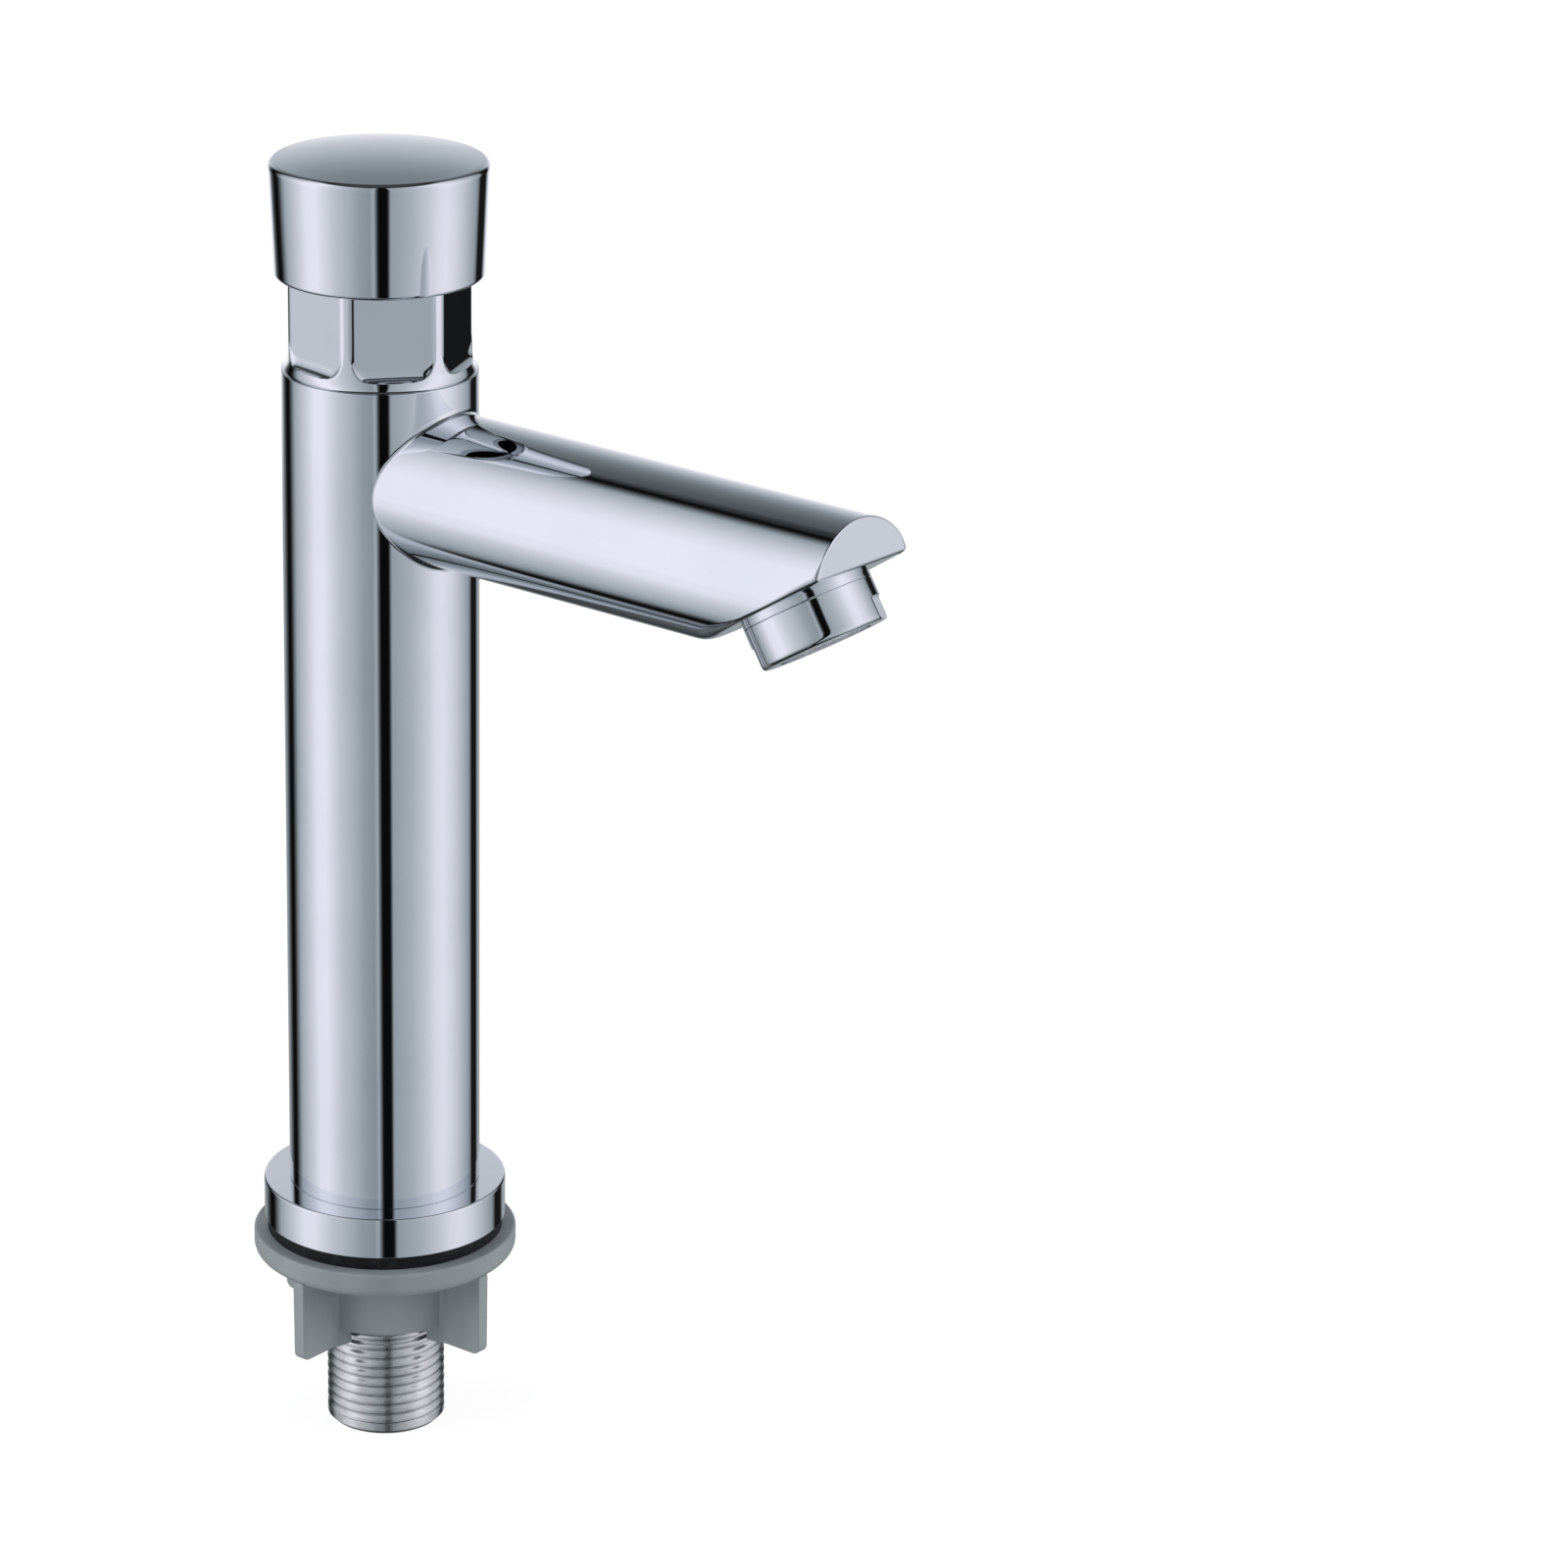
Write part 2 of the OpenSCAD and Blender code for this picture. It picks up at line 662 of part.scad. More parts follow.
// Outline of one flat on the bonnet, with round lower corners
module flat_outline(width, height) {
    translate([-width / 2, hex_corner]) square([width, height]);
    translate([-width / 2 + hex_corner, 0]) square([width - 2 * hex_corner, height]);
    for (side = [-1, 1])
        translate([side * (width / 2 - hex_corner), hex_corner]) circle(r = hex_corner);
}

// Bonnet with six flats: it screws into the pillar and holds the cartridge down
module bonnet() {
    step = (bonnet_foot_d - bonnet_d) / 2;
    sweep = 2 * atan(step / flare_h);
    flare_r = flare_h / sin(sweep);
    ring_z = top_z - bonnet_groove_drop;
    thread_r = bonnet_thread_r;
    flat_w = 2 * sqrt(pow(bonnet_d / 2, 2) - pow(hex_w / 2, 2)) + 0.6;
    color(chrome_tone) difference() {
        turned(concat(
            [[cylinder_collar_d / 2 + snug_gap, bonnet_low_z],
            [thread_r - 0.6, bonnet_low_z],
            [thread_r, bonnet_low_z + 0.6],
            [thread_r, ring_z],
            [thread_r - ring_t, ring_z],
            [thread_r - ring_t, ring_z + ring_t + 2 * ring_gap],
            [thread_r, ring_z + ring_t + 2 * ring_gap],
            [thread_r, top_z]],
            arc([bonnet_d / 2 + flare_r, top_z + flare_h], flare_r, 180 + sweep, 180, 6),
            [[bonnet_d / 2, bonnet_top_z - 0.5],
            [bonnet_d / 2 - 0.5, bonnet_top_z],
            [well_d / 2, bonnet_top_z],
            [well_d / 2, well_z],
            [wiper_d / 2 + snug_gap, well_z],
            [wiper_d / 2 + snug_gap, wiper_z],
            [stem_r + 0.3, wiper_z],
            [stem_r + 0.3, roof_z + bush_l + stem_ring_t + 2 * ring_gap],
            [bush_d / 2 + snug_gap, roof_z + bush_l + stem_ring_t + 2 * ring_gap],
            [bush_d / 2 + snug_gap, roof_z],
            [cylinder_collar_d / 2 + snug_gap, roof_z]]));
        for (i = [0:5])
            rotate([0, 0, hex_turn + i * 60]) translate([hex_w / 2, 0, top_z + hex_start])
                rotate([90, 0, 90]) linear_extrude(bonnet_foot_d / 2)
                    flat_outline(flat_w, bonnet_h);
    }
}

// Sealing ring between bonnet and pillar
module bonnet_seal_ring() {
    color(black_tone) seal_ring(bonnet_thread_r - ring_t, bonnet_thread_r + snug_gap,
        top_z - bonnet_groove_drop, ring_t + 2 * ring_gap);
}

// Push cap: a tapered cup with a domed top and a boss for the stem
module push_cap() {
    rim_r = cap_rim_d / 2;
    top_r = cap_top_d / 2;
    lean = atan((top_r - rim_r) / cap_h);
    dome_w = top_r - cap_edge;
    dome_r = (dome_w * dome_w + cap_dome * cap_dome) / (2 * cap_dome);
    dome_top_z = cap_edge_z + cap_dome;
    dome_half = asin(dome_w / dome_r);
    color(chrome_tone) turned(concat(
        [[cap_bore_r, rim_z]],
        arc([rim_r - cap_edge, rim_z + cap_edge], cap_edge, -90, -lean, 5),
        arc([top_r - cap_edge, cap_edge_z - cap_edge], cap_edge, -lean, 90 - dome_half, 6),
        arc([0, dome_top_z - dome_r], dome_r, 90 - dome_half, 90, 8),
        [[0, stem_high_z],
        [stem_r + snug_gap, stem_high_z],
        [stem_r + snug_gap, boss_z],
        [boss_d / 2, boss_z],
        [boss_d / 2, cap_roof_z],
        [cap_bore_r, cap_roof_z]]));
}

// Nut that locks the stem in the cap
module cap_lock_nut() {
    color(steel_tone) difference() {
        hex(lock_nut_w, boss_z - lock_nut_h, lock_nut_h);
        translate([0, 0, boss_z - lock_nut_h - past])
            cylinder(r = stem_r + snug_gap, h = lock_nut_h + 2 * past);
    }
}

// Stem from the cap down through the valve seat
module stem() {
    clip_r = stem_r - 0.5;
    color(steel_tone) turned([
        [0, stem_low_z],
        [tail_r, stem_low_z],
        [tail_r, floor_z - stroke - 2],
        [stem_r, floor_z - stroke - 2],
        [stem_r, stem_collar_z],
        [stem_collar_d / 2, stem_collar_z],
        [stem_collar_d / 2, piston_z],
        [stem_r, piston_z],
        [stem_r, piston_top_z],
        [clip_r, piston_top_z],
        [clip_r, piston_top_z + clip_t],
        [stem_r, piston_top_z + clip_t],
        [stem_r, stem_high_z],
        [0, stem_high_z]]);
}

// Flanged bush that guides the stem in the bonnet
module stem_guide_bush() {
    color(white_tone) difference() {
        turned([[stem_r + slide_gap, cylinder_top_z],
            [bush_flange_d / 2, cylinder_top_z],
            [bush_flange_d / 2, roof_z],
            [bush_d / 2, roof_z],
            [bush_d / 2, roof_z + bush_l],
            [stem_r + slide_gap, roof_z + bush_l]]);
        translate([metering_r, 0, cylinder_top_z - past])
            cylinder(r = metering_pin_d / 2, h = bush_flange_t + past);
    }
}

// Sealing ring around the stem, above the bush
module stem_seal_ring() {
    r = stem_ring_t / 2;
    color(black_tone) translate([0, 0, roof_z + bush_l + ring_gap + r])
        rotate_extrude() translate([stem_r + slide_gap + r, 0]) circle(r = r, $fn = 32);
}

// Wiper that keeps dirt off the stem
module stem_wiper() {
    color(black_tone) turned([[stem_r + slide_gap, wiper_z],
        [wiper_d / 2, wiper_z],
        [wiper_d / 2, well_z],
        [stem_r + slide_gap + 0.8, well_z],
        [stem_r + slide_gap, well_z - 0.8]]);
}

// Timing cylinder on its cage, with a floor that carries the spring
module timing_cylinder() {
    outer_r = cylinder_d / 2;
    bore_r = cylinder_bore / 2;
    groove_z = collar_z + 1;
    groove_h = ring_t + 2 * ring_gap;
    collar_r = cylinder_collar_d / 2;
    color(white_tone) difference() {
        turned([[stem_r + slide_gap, floor_z],
            [outer_r, floor_z],
            [outer_r, collar_z],
            [collar_r, collar_z],
            [collar_r, groove_z],
            [collar_r - ring_t, groove_z],
            [collar_r - ring_t, groove_z + groove_h],
            [collar_r, groove_z + groove_h],
            [collar_r, cylinder_top_z],
            [bore_r, cylinder_top_z],
            [bore_r, floor_top_z],
            [stem_r + slide_gap, floor_top_z]]);
        for (i = [0:3])
            rotate([0, 0, i * 90]) translate([bore_r - 1, -window_w / 2, floor_top_z + 1])
                cube([outer_r, window_w, window_h]);
    }
    color(white_tone) difference() {
        union() {
            ring(seat_bore / 2, chamber_r - 0.2, seat_top_z, cage_ring_t);
            intersection() {
                ring(bore_r, outer_r, cage_z - 0.5, cage_h + 1);
                for (i = [0:1])
                    rotate([0, 0, 45 + i * 90]) translate([-outer_r, -2, seat_top_z])
                        cube([cylinder_d, 4, cage_h + cage_ring_t + 1]);
            }
        }
    }
}

// Sealing ring between cylinder and bonnet
module cylinder_seal_ring() {
    collar_r = cylinder_collar_d / 2;
    color(black_tone) seal_ring(collar_r - ring_t, collar_r + snug_gap, collar_z + 1,
        ring_t + 2 * ring_gap);
}

// Piston that slides in the timing cylinder
module timing_piston() {
    r = cylinder_bore / 2 - slide_gap;
    seal_z = piston_z + (piston_h - cup_seal_h) / 2;
    color(white_tone) difference() {
        turned([[stem_r + snug_gap, piston_z],
            [r, piston_z],
            [r, seal_z],
            [r - cup_seal_t, seal_z],
            [r - cup_seal_t, seal_z + cup_seal_h],
            [r, seal_z + cup_seal_h],
            [r, piston_top_z],
            [stem_r + snug_gap, piston_top_z]]);
        translate([metering_r, 0, piston_z - past])
            cylinder(r = metering_pin_d / 2 + slide_gap, h = piston_h + 2 * past);
    }
}

// Cup seal in the piston's groove
module piston_cup_seal() {
    r = cylinder_bore / 2 - slide_gap;
    seal_z = piston_z + (piston_h - cup_seal_h) / 2;
    foot_r = r - cup_seal_t + snug_gap;
    color(black_tone) turned([[foot_r, seal_z + ring_gap],
        [r, seal_z + ring_gap],
        [r - 0.5, seal_z + cup_seal_h * 0.45],
        [r, seal_z + cup_seal_h - ring_gap],
        [r - 0.35, seal_z + cup_seal_h - ring_gap],
        [foot_r + 0.5, seal_z + cup_seal_h * 0.5],
        [foot_r, seal_z + cup_seal_h - ring_gap]]);
}

// Open clip in the stem's groove, above the piston
module piston_clip() {
    color(steel_tone) difference() {
        ring(stem_r - 0.5 + snug_gap, clip_d / 2, piston_top_z, clip_t);
        rotate([0, 0, 180]) translate([0, -1.2, piston_top_z - past])
            cube([clip_d, 2.4, clip_t + 2 * past]);
    }
}

// Pin that meters the water through the piston
module metering_pin() {
    color(steel_tone) translate([metering_r, 0, piston_z - stroke - 2])
        cylinder(r = metering_pin_d / 2, h = cylinder_top_z + bush_flange_t - piston_z + stroke + 2);
}

// Height of the spring's wire after some turns, with one closed turn at each end
spring_closed_rise = wire_d + 0.5;
spring_inner_l = spring_l - wire_d - 0.1;
spring_rise = (spring_inner_l - 2 * spring_closed_rise) / spring_turns;
function wire_z(turn) = spring_z + wire_d / 2 + 0.05
    + min(turn, 1) * spring_closed_rise
    + max(0, min(turn - 1, spring_turns)) * spring_rise
    + max(0, turn - 1 - spring_turns) * spring_closed_rise;

// Return spring: one unbroken wire of six sides, with eight rings to a turn
module return_spring() {
    sides = 6;
    steps = 8 * (spring_turns + 2);
    points = [for (i = [0:steps], k = [0:sides - 1])
        let (turn = i / 8, a = turn * 360, b = k * 360 / sides)
        [(spring_d / 2 + wire_d / 2 * cos(b)) * cos(a),
        (spring_d / 2 + wire_d / 2 * cos(b)) * sin(a),
        wire_z(turn) + wire_d / 2 * sin(b)]];
    skin = [for (i = [0:steps - 1], k = [0:sides - 1], half = [0, 1])
        let (a = i * sides + k, b = i * sides + (k + 1) % sides)
        half == 0 ? [a, a + sides, b] : [b, a + sides, b + sides]];
    caps = [for (k = [1:sides - 2], end = [0, 1])
        end == 0 ? [0, k, k + 1]
        : [steps * sides, steps * sides + k + 1, steps * sides + k]];
    color(steel_tone) polyhedron(points, concat(skin, caps));
}
echo(str("least gap between the return spring's turns, mm: ", spring_closed_rise - wire_d));

// Washer between spring and cylinder floor
module spring_washer() {
    color(steel_tone) ring(stem_r + 0.4, cylinder_bore / 2 - 0.3, floor_top_z, spring_washer_t);
}

// Valve seat with its lip underneath
module valve_seat() {
    bore_r = seat_bore / 2;
    color(brass_tone) turned([[bore_r, lip_z],
        [bore_r + lip_w, lip_z],
        [bore_r + lip_w + 0.6, seat_z],
        [seat_d / 2, seat_z],
        [seat_d / 2, seat_top_z],
        [bore_r, seat_top_z]]);
}

// Gasket between seat and shelf
module seat_gasket() {
    color(black_tone) ring(column_d / 2 + 0.3, seat_d / 2, shelf_z, seat_gasket_t);
}

// Cup on the stem's tail that carries the valve washer
module valve_cup() {
    color(brass_tone) turned([[tail_r + snug_gap, valve_cup_z],
        [valve_cup_d / 2 - 0.5, valve_cup_z],
        [valve_cup_d / 2, valve_cup_z + 0.5],
        [valve_cup_d / 2, valve_z + valve_t - 0.6],
        [valve_d / 2 + snug_gap, valve_z + valve_t - 0.6],
        [valve_d / 2 + snug_gap, valve_z],
        [tail_r + snug_gap, valve_z]]);
}

// Rubber washer that closes the seat
module valve_washer() {
    color(black_tone) ring(tail_r + snug_gap, valve_d / 2, valve_z, valve_t);
}

// Nut that holds the valve cup on the stem
module valve_nut() {
    color(steel_tone) difference() {
        hex(valve_nut_w, valve_nut_z, valve_nut_h);
        translate([0, 0, valve_nut_z - past])
            cylinder(r = tail_r + snug_gap, h = valve_nut_h + 2 * past);
    }
}

pillar_body();
base_flange();
base_gasket();
backnut();
threaded_shank();
shank_seal_ring();
inlet_strainer();
spout();
aerator_housing();
aerator_washer();
aerator_grid();
aerator_mixer();
flow_disc();
aerator_filter();
bonnet();
bonnet_seal_ring();
push_cap();
cap_lock_nut();
stem();
stem_guide_bush();
stem_seal_ring();
stem_wiper();
timing_cylinder();
cylinder_seal_ring();
timing_piston();
piston_cup_seal();
piston_clip();
metering_pin();
return_spring();
spring_washer();
valve_seat();
seat_gasket();
valve_cup();
valve_washer();
valve_nut();
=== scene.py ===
"""Studio looks for a push-button pillar tap.

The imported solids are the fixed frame. The chromed outside, the pipe with its thread and
the plastic backnut are modelled again here with smooth skins and soft edges, and every
other solid keeps its mesh and gets a finish. Sizes in the classes are in millimetres.
"""

from __future__ import annotations

import json
import logging
import math
from abc import ABC, abstractmethod
from collections.abc import Callable, Sequence
from dataclasses import dataclass
from enum import Enum

import bmesh
import bpy
import numpy as np
from mathutils import Matrix, Vector


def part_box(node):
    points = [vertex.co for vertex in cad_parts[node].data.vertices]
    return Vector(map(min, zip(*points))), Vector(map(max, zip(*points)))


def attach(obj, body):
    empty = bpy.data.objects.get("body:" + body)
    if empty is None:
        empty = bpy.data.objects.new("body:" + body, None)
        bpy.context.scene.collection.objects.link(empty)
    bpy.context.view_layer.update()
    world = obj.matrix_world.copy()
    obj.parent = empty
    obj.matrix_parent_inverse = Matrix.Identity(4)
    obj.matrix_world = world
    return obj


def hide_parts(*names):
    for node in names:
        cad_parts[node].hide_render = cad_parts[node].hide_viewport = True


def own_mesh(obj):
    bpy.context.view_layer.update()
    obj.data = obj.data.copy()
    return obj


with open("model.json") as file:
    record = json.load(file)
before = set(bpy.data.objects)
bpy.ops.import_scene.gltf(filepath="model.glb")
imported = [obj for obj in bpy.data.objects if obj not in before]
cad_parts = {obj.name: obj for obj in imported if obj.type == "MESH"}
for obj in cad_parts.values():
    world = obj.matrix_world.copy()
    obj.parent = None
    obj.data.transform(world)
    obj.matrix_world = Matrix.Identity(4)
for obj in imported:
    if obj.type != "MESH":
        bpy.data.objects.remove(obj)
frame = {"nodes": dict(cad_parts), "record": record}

log = logging.getLogger("pillar_tap")

MM = 0.001
Section = list[tuple[float, float]]


class Body(Enum):
    """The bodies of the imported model."""

    TAP = "tap_body"
    BUTTON = "push_button"
    NUT = "backnut"


class Slot(Enum):
    """The material slots of the record."""

    CHROME = "chrome"
    STEEL = "bare_steel"
    BRASS = "brass"
    RUBBER = "black_rubber"
    GREY = "grey_plastic"
    WHITE = "white_plastic"
    BLUE = "blue_plastic"


# Modelling bench


class EditMode:
    """Edit mode on one object, with picking done in code.

    Attributes:
        obj: the mesh object that is edited.
    """

    def __init__(self, obj: bpy.types.Object) -> None:
        """Keeps the object for the edit."""
        self.obj = obj

    def __enter__(self) -> EditMode:
        """Selects the object alone and enters edit mode.

        Returns:
            This bench.
        """
        only(self.obj)
        bpy.ops.object.mode_set(mode="EDIT")
        bpy.ops.mesh.select_mode(type="VERT")
        return self

    def __exit__(self, *trouble: object) -> None:
        """Leaves edit mode."""
        bpy.ops.object.mode_set(mode="OBJECT")

    def mesh(self) -> bmesh.types.BMesh:
        """Fetches the mesh that is being edited.

        Returns:
            The mesh, with its indices renewed.
        """
        work = bmesh.from_edit_mesh(self.obj.data)
        work.verts.ensure_lookup_table()
        work.verts.index_update()
        return work

    def pick(self, test: Callable[[bmesh.types.BMVert], bool]) -> None:
        """Selects the vertices that pass a test, and no others.

        Args:
            test: says of a vertex whether it is selected.
        """
        work = self.mesh()
        for part in (*work.faces, *work.edges):
            part.select = False
        for vert in work.verts:
            vert.select = test(vert)
        work.select_flush_mode()
        bmesh.update_edit_mesh(self.obj.data)

    def pick_points(self, points: Sequence[Vector]) -> None:
        """Selects the vertex nearest to each point.

        Args:
            points: places in metres.
        """
        work = self.mesh()
        places = np.array([v.co for v in work.verts])
        wanted = {int(np.argmin(((places - np.array(p)) ** 2).sum(1))) for p in points}
        self.pick(lambda vert: vert.index in wanted)

    def everything(self) -> None:
        """Selects the whole mesh."""
        bpy.ops.mesh.select_all(action="SELECT")

    def heal(self, nearer: float = 0.0005) -> None:
        """Merges doubles and turns every face outwards.

        Args:
            nearer: distance in millimetres under which vertices become one.
        """
        self.everything()
        bpy.ops.mesh.remove_doubles(threshold=nearer * MM)
        bpy.ops.mesh.normals_make_consistent(inside=False)


def only(obj: bpy.types.Object) -> None:
    """Makes one object the active and only selected one.

    Args:
        obj: the object.
    """
    bpy.ops.object.select_all(action="DESELECT")
    obj.select_set(True)
    bpy.context.view_layer.objects.active = obj


def fresh(name: str, primitive: Callable[..., object], **how: object) -> bpy.types.Object:
    """Adds a primitive while nothing else is selected.

    Args:
        name: name of the new object and mesh.
        primitive: the operator that adds it.
        how: the operator's options.

    Returns:
        The new object.
    """
    bpy.ops.object.select_all(action="DESELECT")
    primitive(**how)
    obj = bpy.context.object
    obj.name = obj.data.name = name
    return obj


def arc(
    centre: tuple[float, float], radius: float, start: float, end: float, steps: int = 6
) -> Section:
    """Rounds a section along an arc.

    Args:
        centre: centre of the arc.
        radius: its radius.
        start: angle of its first point, in degrees.
        end: angle of its last point.
        steps: number of divisions.

    Returns:
        The points of the arc.
    """
    angles = [math.radians(start + (end - start) * i / steps) for i in range(steps + 1)]
    return [(centre[0] + radius * math.cos(a), centre[1] + radius * math.sin(a)) for a in angles]


def drawn(name: str, section: Section, closed: bool) -> bpy.types.Object:
    """Draws a section in the XZ plane, one extruded point after another.

    Args:
        name: name of the new object.
        section: radius and height of each point, in millimetres.
        closed: whether the last point is joined to the first.

    Returns:
        The object that holds the drawn edges.
    """
    obj = fresh(name, bpy.ops.mesh.primitive_plane_add, size=2 * MM)
    points = [Vector((r, 0.0, z)) * MM for r, z in section]
    with EditMode(obj) as bench:
        bench.pick(lambda vert: vert.index > 0)
        bpy.ops.mesh.delete(type="VERT")
        bench.everything()
        start = bench.mesh().verts[0].co.copy()
        bpy.ops.transform.translate(value=points[0] - start)
        for here, there in zip(points, points[1:]):
            bpy.ops.mesh.extrude_region_move(TRANSFORM_OT_translate={"value": there - here})
        if closed:
            bench.pick_points([points[0], points[-1]])
            bpy.ops.mesh.edge_face_add()
    return obj


def turned(name: str, section: Section, steps: int = 192) -> bpy.types.Object:
    """Spins a closed section round the Z axis, as on a lathe.

    Args:
        name: name of the new object.
        section: radius and height of each point, in millimetres.
        steps: number of divisions round the axis.

    Returns:
        The turned piece.
    """
    obj = drawn(name, section, closed=True)
    with EditMode(obj) as bench:
        bench.everything()
        bpy.ops.mesh.spin(
            steps=steps, angle=math.tau, center=(0.0, 0.0, 0.0), axis=(0.0, 0.0, 1.0)
        )
        bench.heal()
    return obj


def lofted(name: str, rings: Sequence[Sequence[Vector]]) -> bpy.types.Object:
    """Extrudes a circle from ring to ring and puts the points of each ring in place.

    Args:
        name: name of the new object.
        rings: rings with the same number of points, in metres.

    Returns:
        An open tube through the rings.
    """
    obj = fresh(
        name,
        bpy.ops.mesh.primitive_circle_add,
        vertices=len(rings[0]),
        radius=10 * MM,
        fill_type="NOTHING",
    )
    with EditMode(obj) as bench:
        order = {vert.index: vert.index for vert in bench.mesh().verts}
        for vert, point in zip(bench.mesh().verts, rings[0]):
            vert.co = point
        bench.everything()
        for ring in rings[1:]:
            bpy.ops.mesh.extrude_region_move()
            work = bench.mesh()
            grown = {}
            for vert in (v for v in work.verts if v.select):
                root = next(
                    e.other_vert(vert) for e in vert.link_edges if not e.other_vert(vert).select
                )
                grown[vert.index] = order[root.index]
                vert.co = ring[grown[vert.index]]
            order = grown
            bmesh.update_edit_mesh(obj.data)
    return obj


def applied(obj: bpy.types.Object, kind: str, **settings: object) -> None:
    """Adds a modifier with its settings and applies it.

    Args:
        obj: the object that is changed.
        kind: the modifier's type.
        settings: its settings by name.
    """
    only(obj)
    tool = obj.modifiers.new(kind.lower(), kind)
    for key, value in settings.items():
        setattr(tool, key, value)
    bpy.ops.object.modifier_apply(modifier=tool.name)


def polished(obj: bpy.types.Object, angle: float = 30.0) -> bpy.types.Object:
    """Shades a piece smooth but for its sharp edges, with broad faces kept true.

    Args:
        obj: the piece.
        angle: edges that turn more than this many degrees stay sharp.

    Returns:
        The same piece.
    """
    only(obj)
    bpy.ops.object.shade_smooth_by_angle(angle=math.radians(angle))
    applied(obj, "WEIGHTED_NORMAL", mode="FACE_AREA", weight=50, keep_sharp=True)
    return obj


def placed(obj: bpy.types.Object, matrix: Matrix) -> bpy.types.Object:
    """Moves a piece and applies the move, so that its place is in its mesh.

    Args:
        obj: the piece.
        matrix: its new place and turn.

    Returns:
        The same piece, at the origin and unturned.
    """
    only(obj)
    obj.matrix_world = matrix
    bpy.ops.object.transform_apply(location=True, rotation=True, scale=True)
    return obj


def joined(first: bpy.types.Object, *others: bpy.types.Object) -> bpy.types.Object:
    """Joins pieces into the first of them.

    Args:
        first: the piece that keeps its name.
        others: the pieces that become part of it.

    Returns:
        The first piece.
    """
    only(first)
    for obj in others:
        obj.select_set(True)
    bpy.ops.object.join()
    return first


@dataclass(frozen=True)
class Flats:
    """Flats milled round a turned piece.

    Attributes:
        count: number of flats.
        across: distance between opposite flats.
        turn: direction of the first flat, in degrees.
        edge_z: height at which the cutter stops.
        upward: whether the flats run up from there, or down.
        stock_r: radius of the turned stock.
        corner: radius of the cutter's path at the flats' corners.
        fillet: radius that the cutter leaves at the foot of a flat.
        soft: rounding of the edges beside a flat.
        ledge: height over which the cut runs out below its foot.
    """

    count: int
    across: float
    turn: float
    edge_z: float
    upward: bool
    stock_r: float
    corner: float
    fillet: float
    soft: float
    ledge: float = 0.08

    def mill(self, obj: bpy.types.Object) -> None:
        """Moves the outer skin of a turned piece in to the flats.

        Args:
            obj: a turned piece about the Z axis, in metres.
        """
        verts = obj.data.vertices
        co = np.empty(len(verts) * 3)
        verts.foreach_get("co", co)
        co = co.reshape(-1, 3) / MM
        radius = np.hypot(co[:, 0], co[:, 1])
        step = math.tau / self.count
        turn = np.arctan2(co[:, 1], co[:, 0]) - math.radians(self.turn)
        local = (turn + step / 2) % step - step / 2
        plane = self.across / 2 / np.cos(local)
        along = np.abs(self.across / 2 * np.tan(local))
        half = math.sqrt(self.stock_r**2 - (self.across / 2) ** 2)
        over = np.clip(along - (half - self.corner), 0, self.corner)
        rise = self.corner - np.sqrt(self.corner**2 - over**2)
        depth = np.clip(radius - plane, 0, None)
        height = (co[:, 2] - self.edge_z if self.upward else self.edge_z - co[:, 2]) - rise
        fade = np.clip(-height / self.ledge, 0, 1)
        ramp = self.fillet + (depth + self.soft - self.fillet) * fade
        sweep = np.clip(self.fillet - height, 0, self.fillet)
        foot = self.fillet - np.sqrt(self.fillet**2 - sweep**2)
        cut = plane + np.where(height < 0, ramp, foot)
        cut = np.where(height < -self.ledge, radius + self.soft * 2, cut)
        near = np.clip(0.5 + 0.5 * (cut - radius) / self.soft, 0, 1)
        skin = cut + (radius - cut) * near - self.soft * near * (1 - near)
        scale = np.where(radius > 1e-6, skin / np.maximum(radius, 1e-6), 1.0)
        co[:, :2] *= scale[:, None]
        verts.foreach_set("co", (co * MM).ravel())
        obj.data.update()


# Shader tools


class Signal:
    """One output socket, on which Python's arithmetic adds Math nodes."""

    def __init__(self, graph: Graph, socket: bpy.types.NodeSocket) -> None:
        """Keeps the socket and the graph that it belongs to."""
        self.graph = graph
        self.socket = socket

    def _math(self, operation: str, first: object, second: object) -> Signal:
        """Adds one Math node on two values or signals."""
        return self.graph.add("ShaderNodeMath", {"operation": operation}, {0: first, 1: second})

    def __add__(self, other: Signal | float) -> Signal:
        """Adds a signal or number."""
        return self._math("ADD", self, other)

    def __sub__(self, other: Signal | float) -> Signal:
        """Takes a signal or number away."""
        return self._math("SUBTRACT", self, other)

    def __rsub__(self, other: float) -> Signal:
        """Takes this signal away from a number."""
        return self._math("SUBTRACT", other, self)

    def __mul__(self, other: Signal | float) -> Signal:
        """Multiplies by a signal or number."""
        return self._math("MULTIPLY", self, other)

    def __truediv__(self, other: Signal | float) -> Signal:
        """Divides by a signal or number."""
        return self._math("DIVIDE", self, other)

    __radd__ = __add__
    __rmul__ = __mul__

    def size(self) -> Signal:
        """The value without its sign."""
        return self.graph.add("ShaderNodeMath", {"operation": "ABSOLUTE"}, {0: self})

    def step(self, low: float, high: float) -> Signal:
        """Rises smoothly from 0 to 1.

        Args:
            low: value up to which it is 0.
            high: value from which it is 1.

        Returns:
            The risen value.
        """
        return self.graph.add(
            "ShaderNodeMapRange",
            {"interpolation_type": "SMOOTHSTEP"},
            {"Value": self, "From Min": low, "From Max": high},
        )


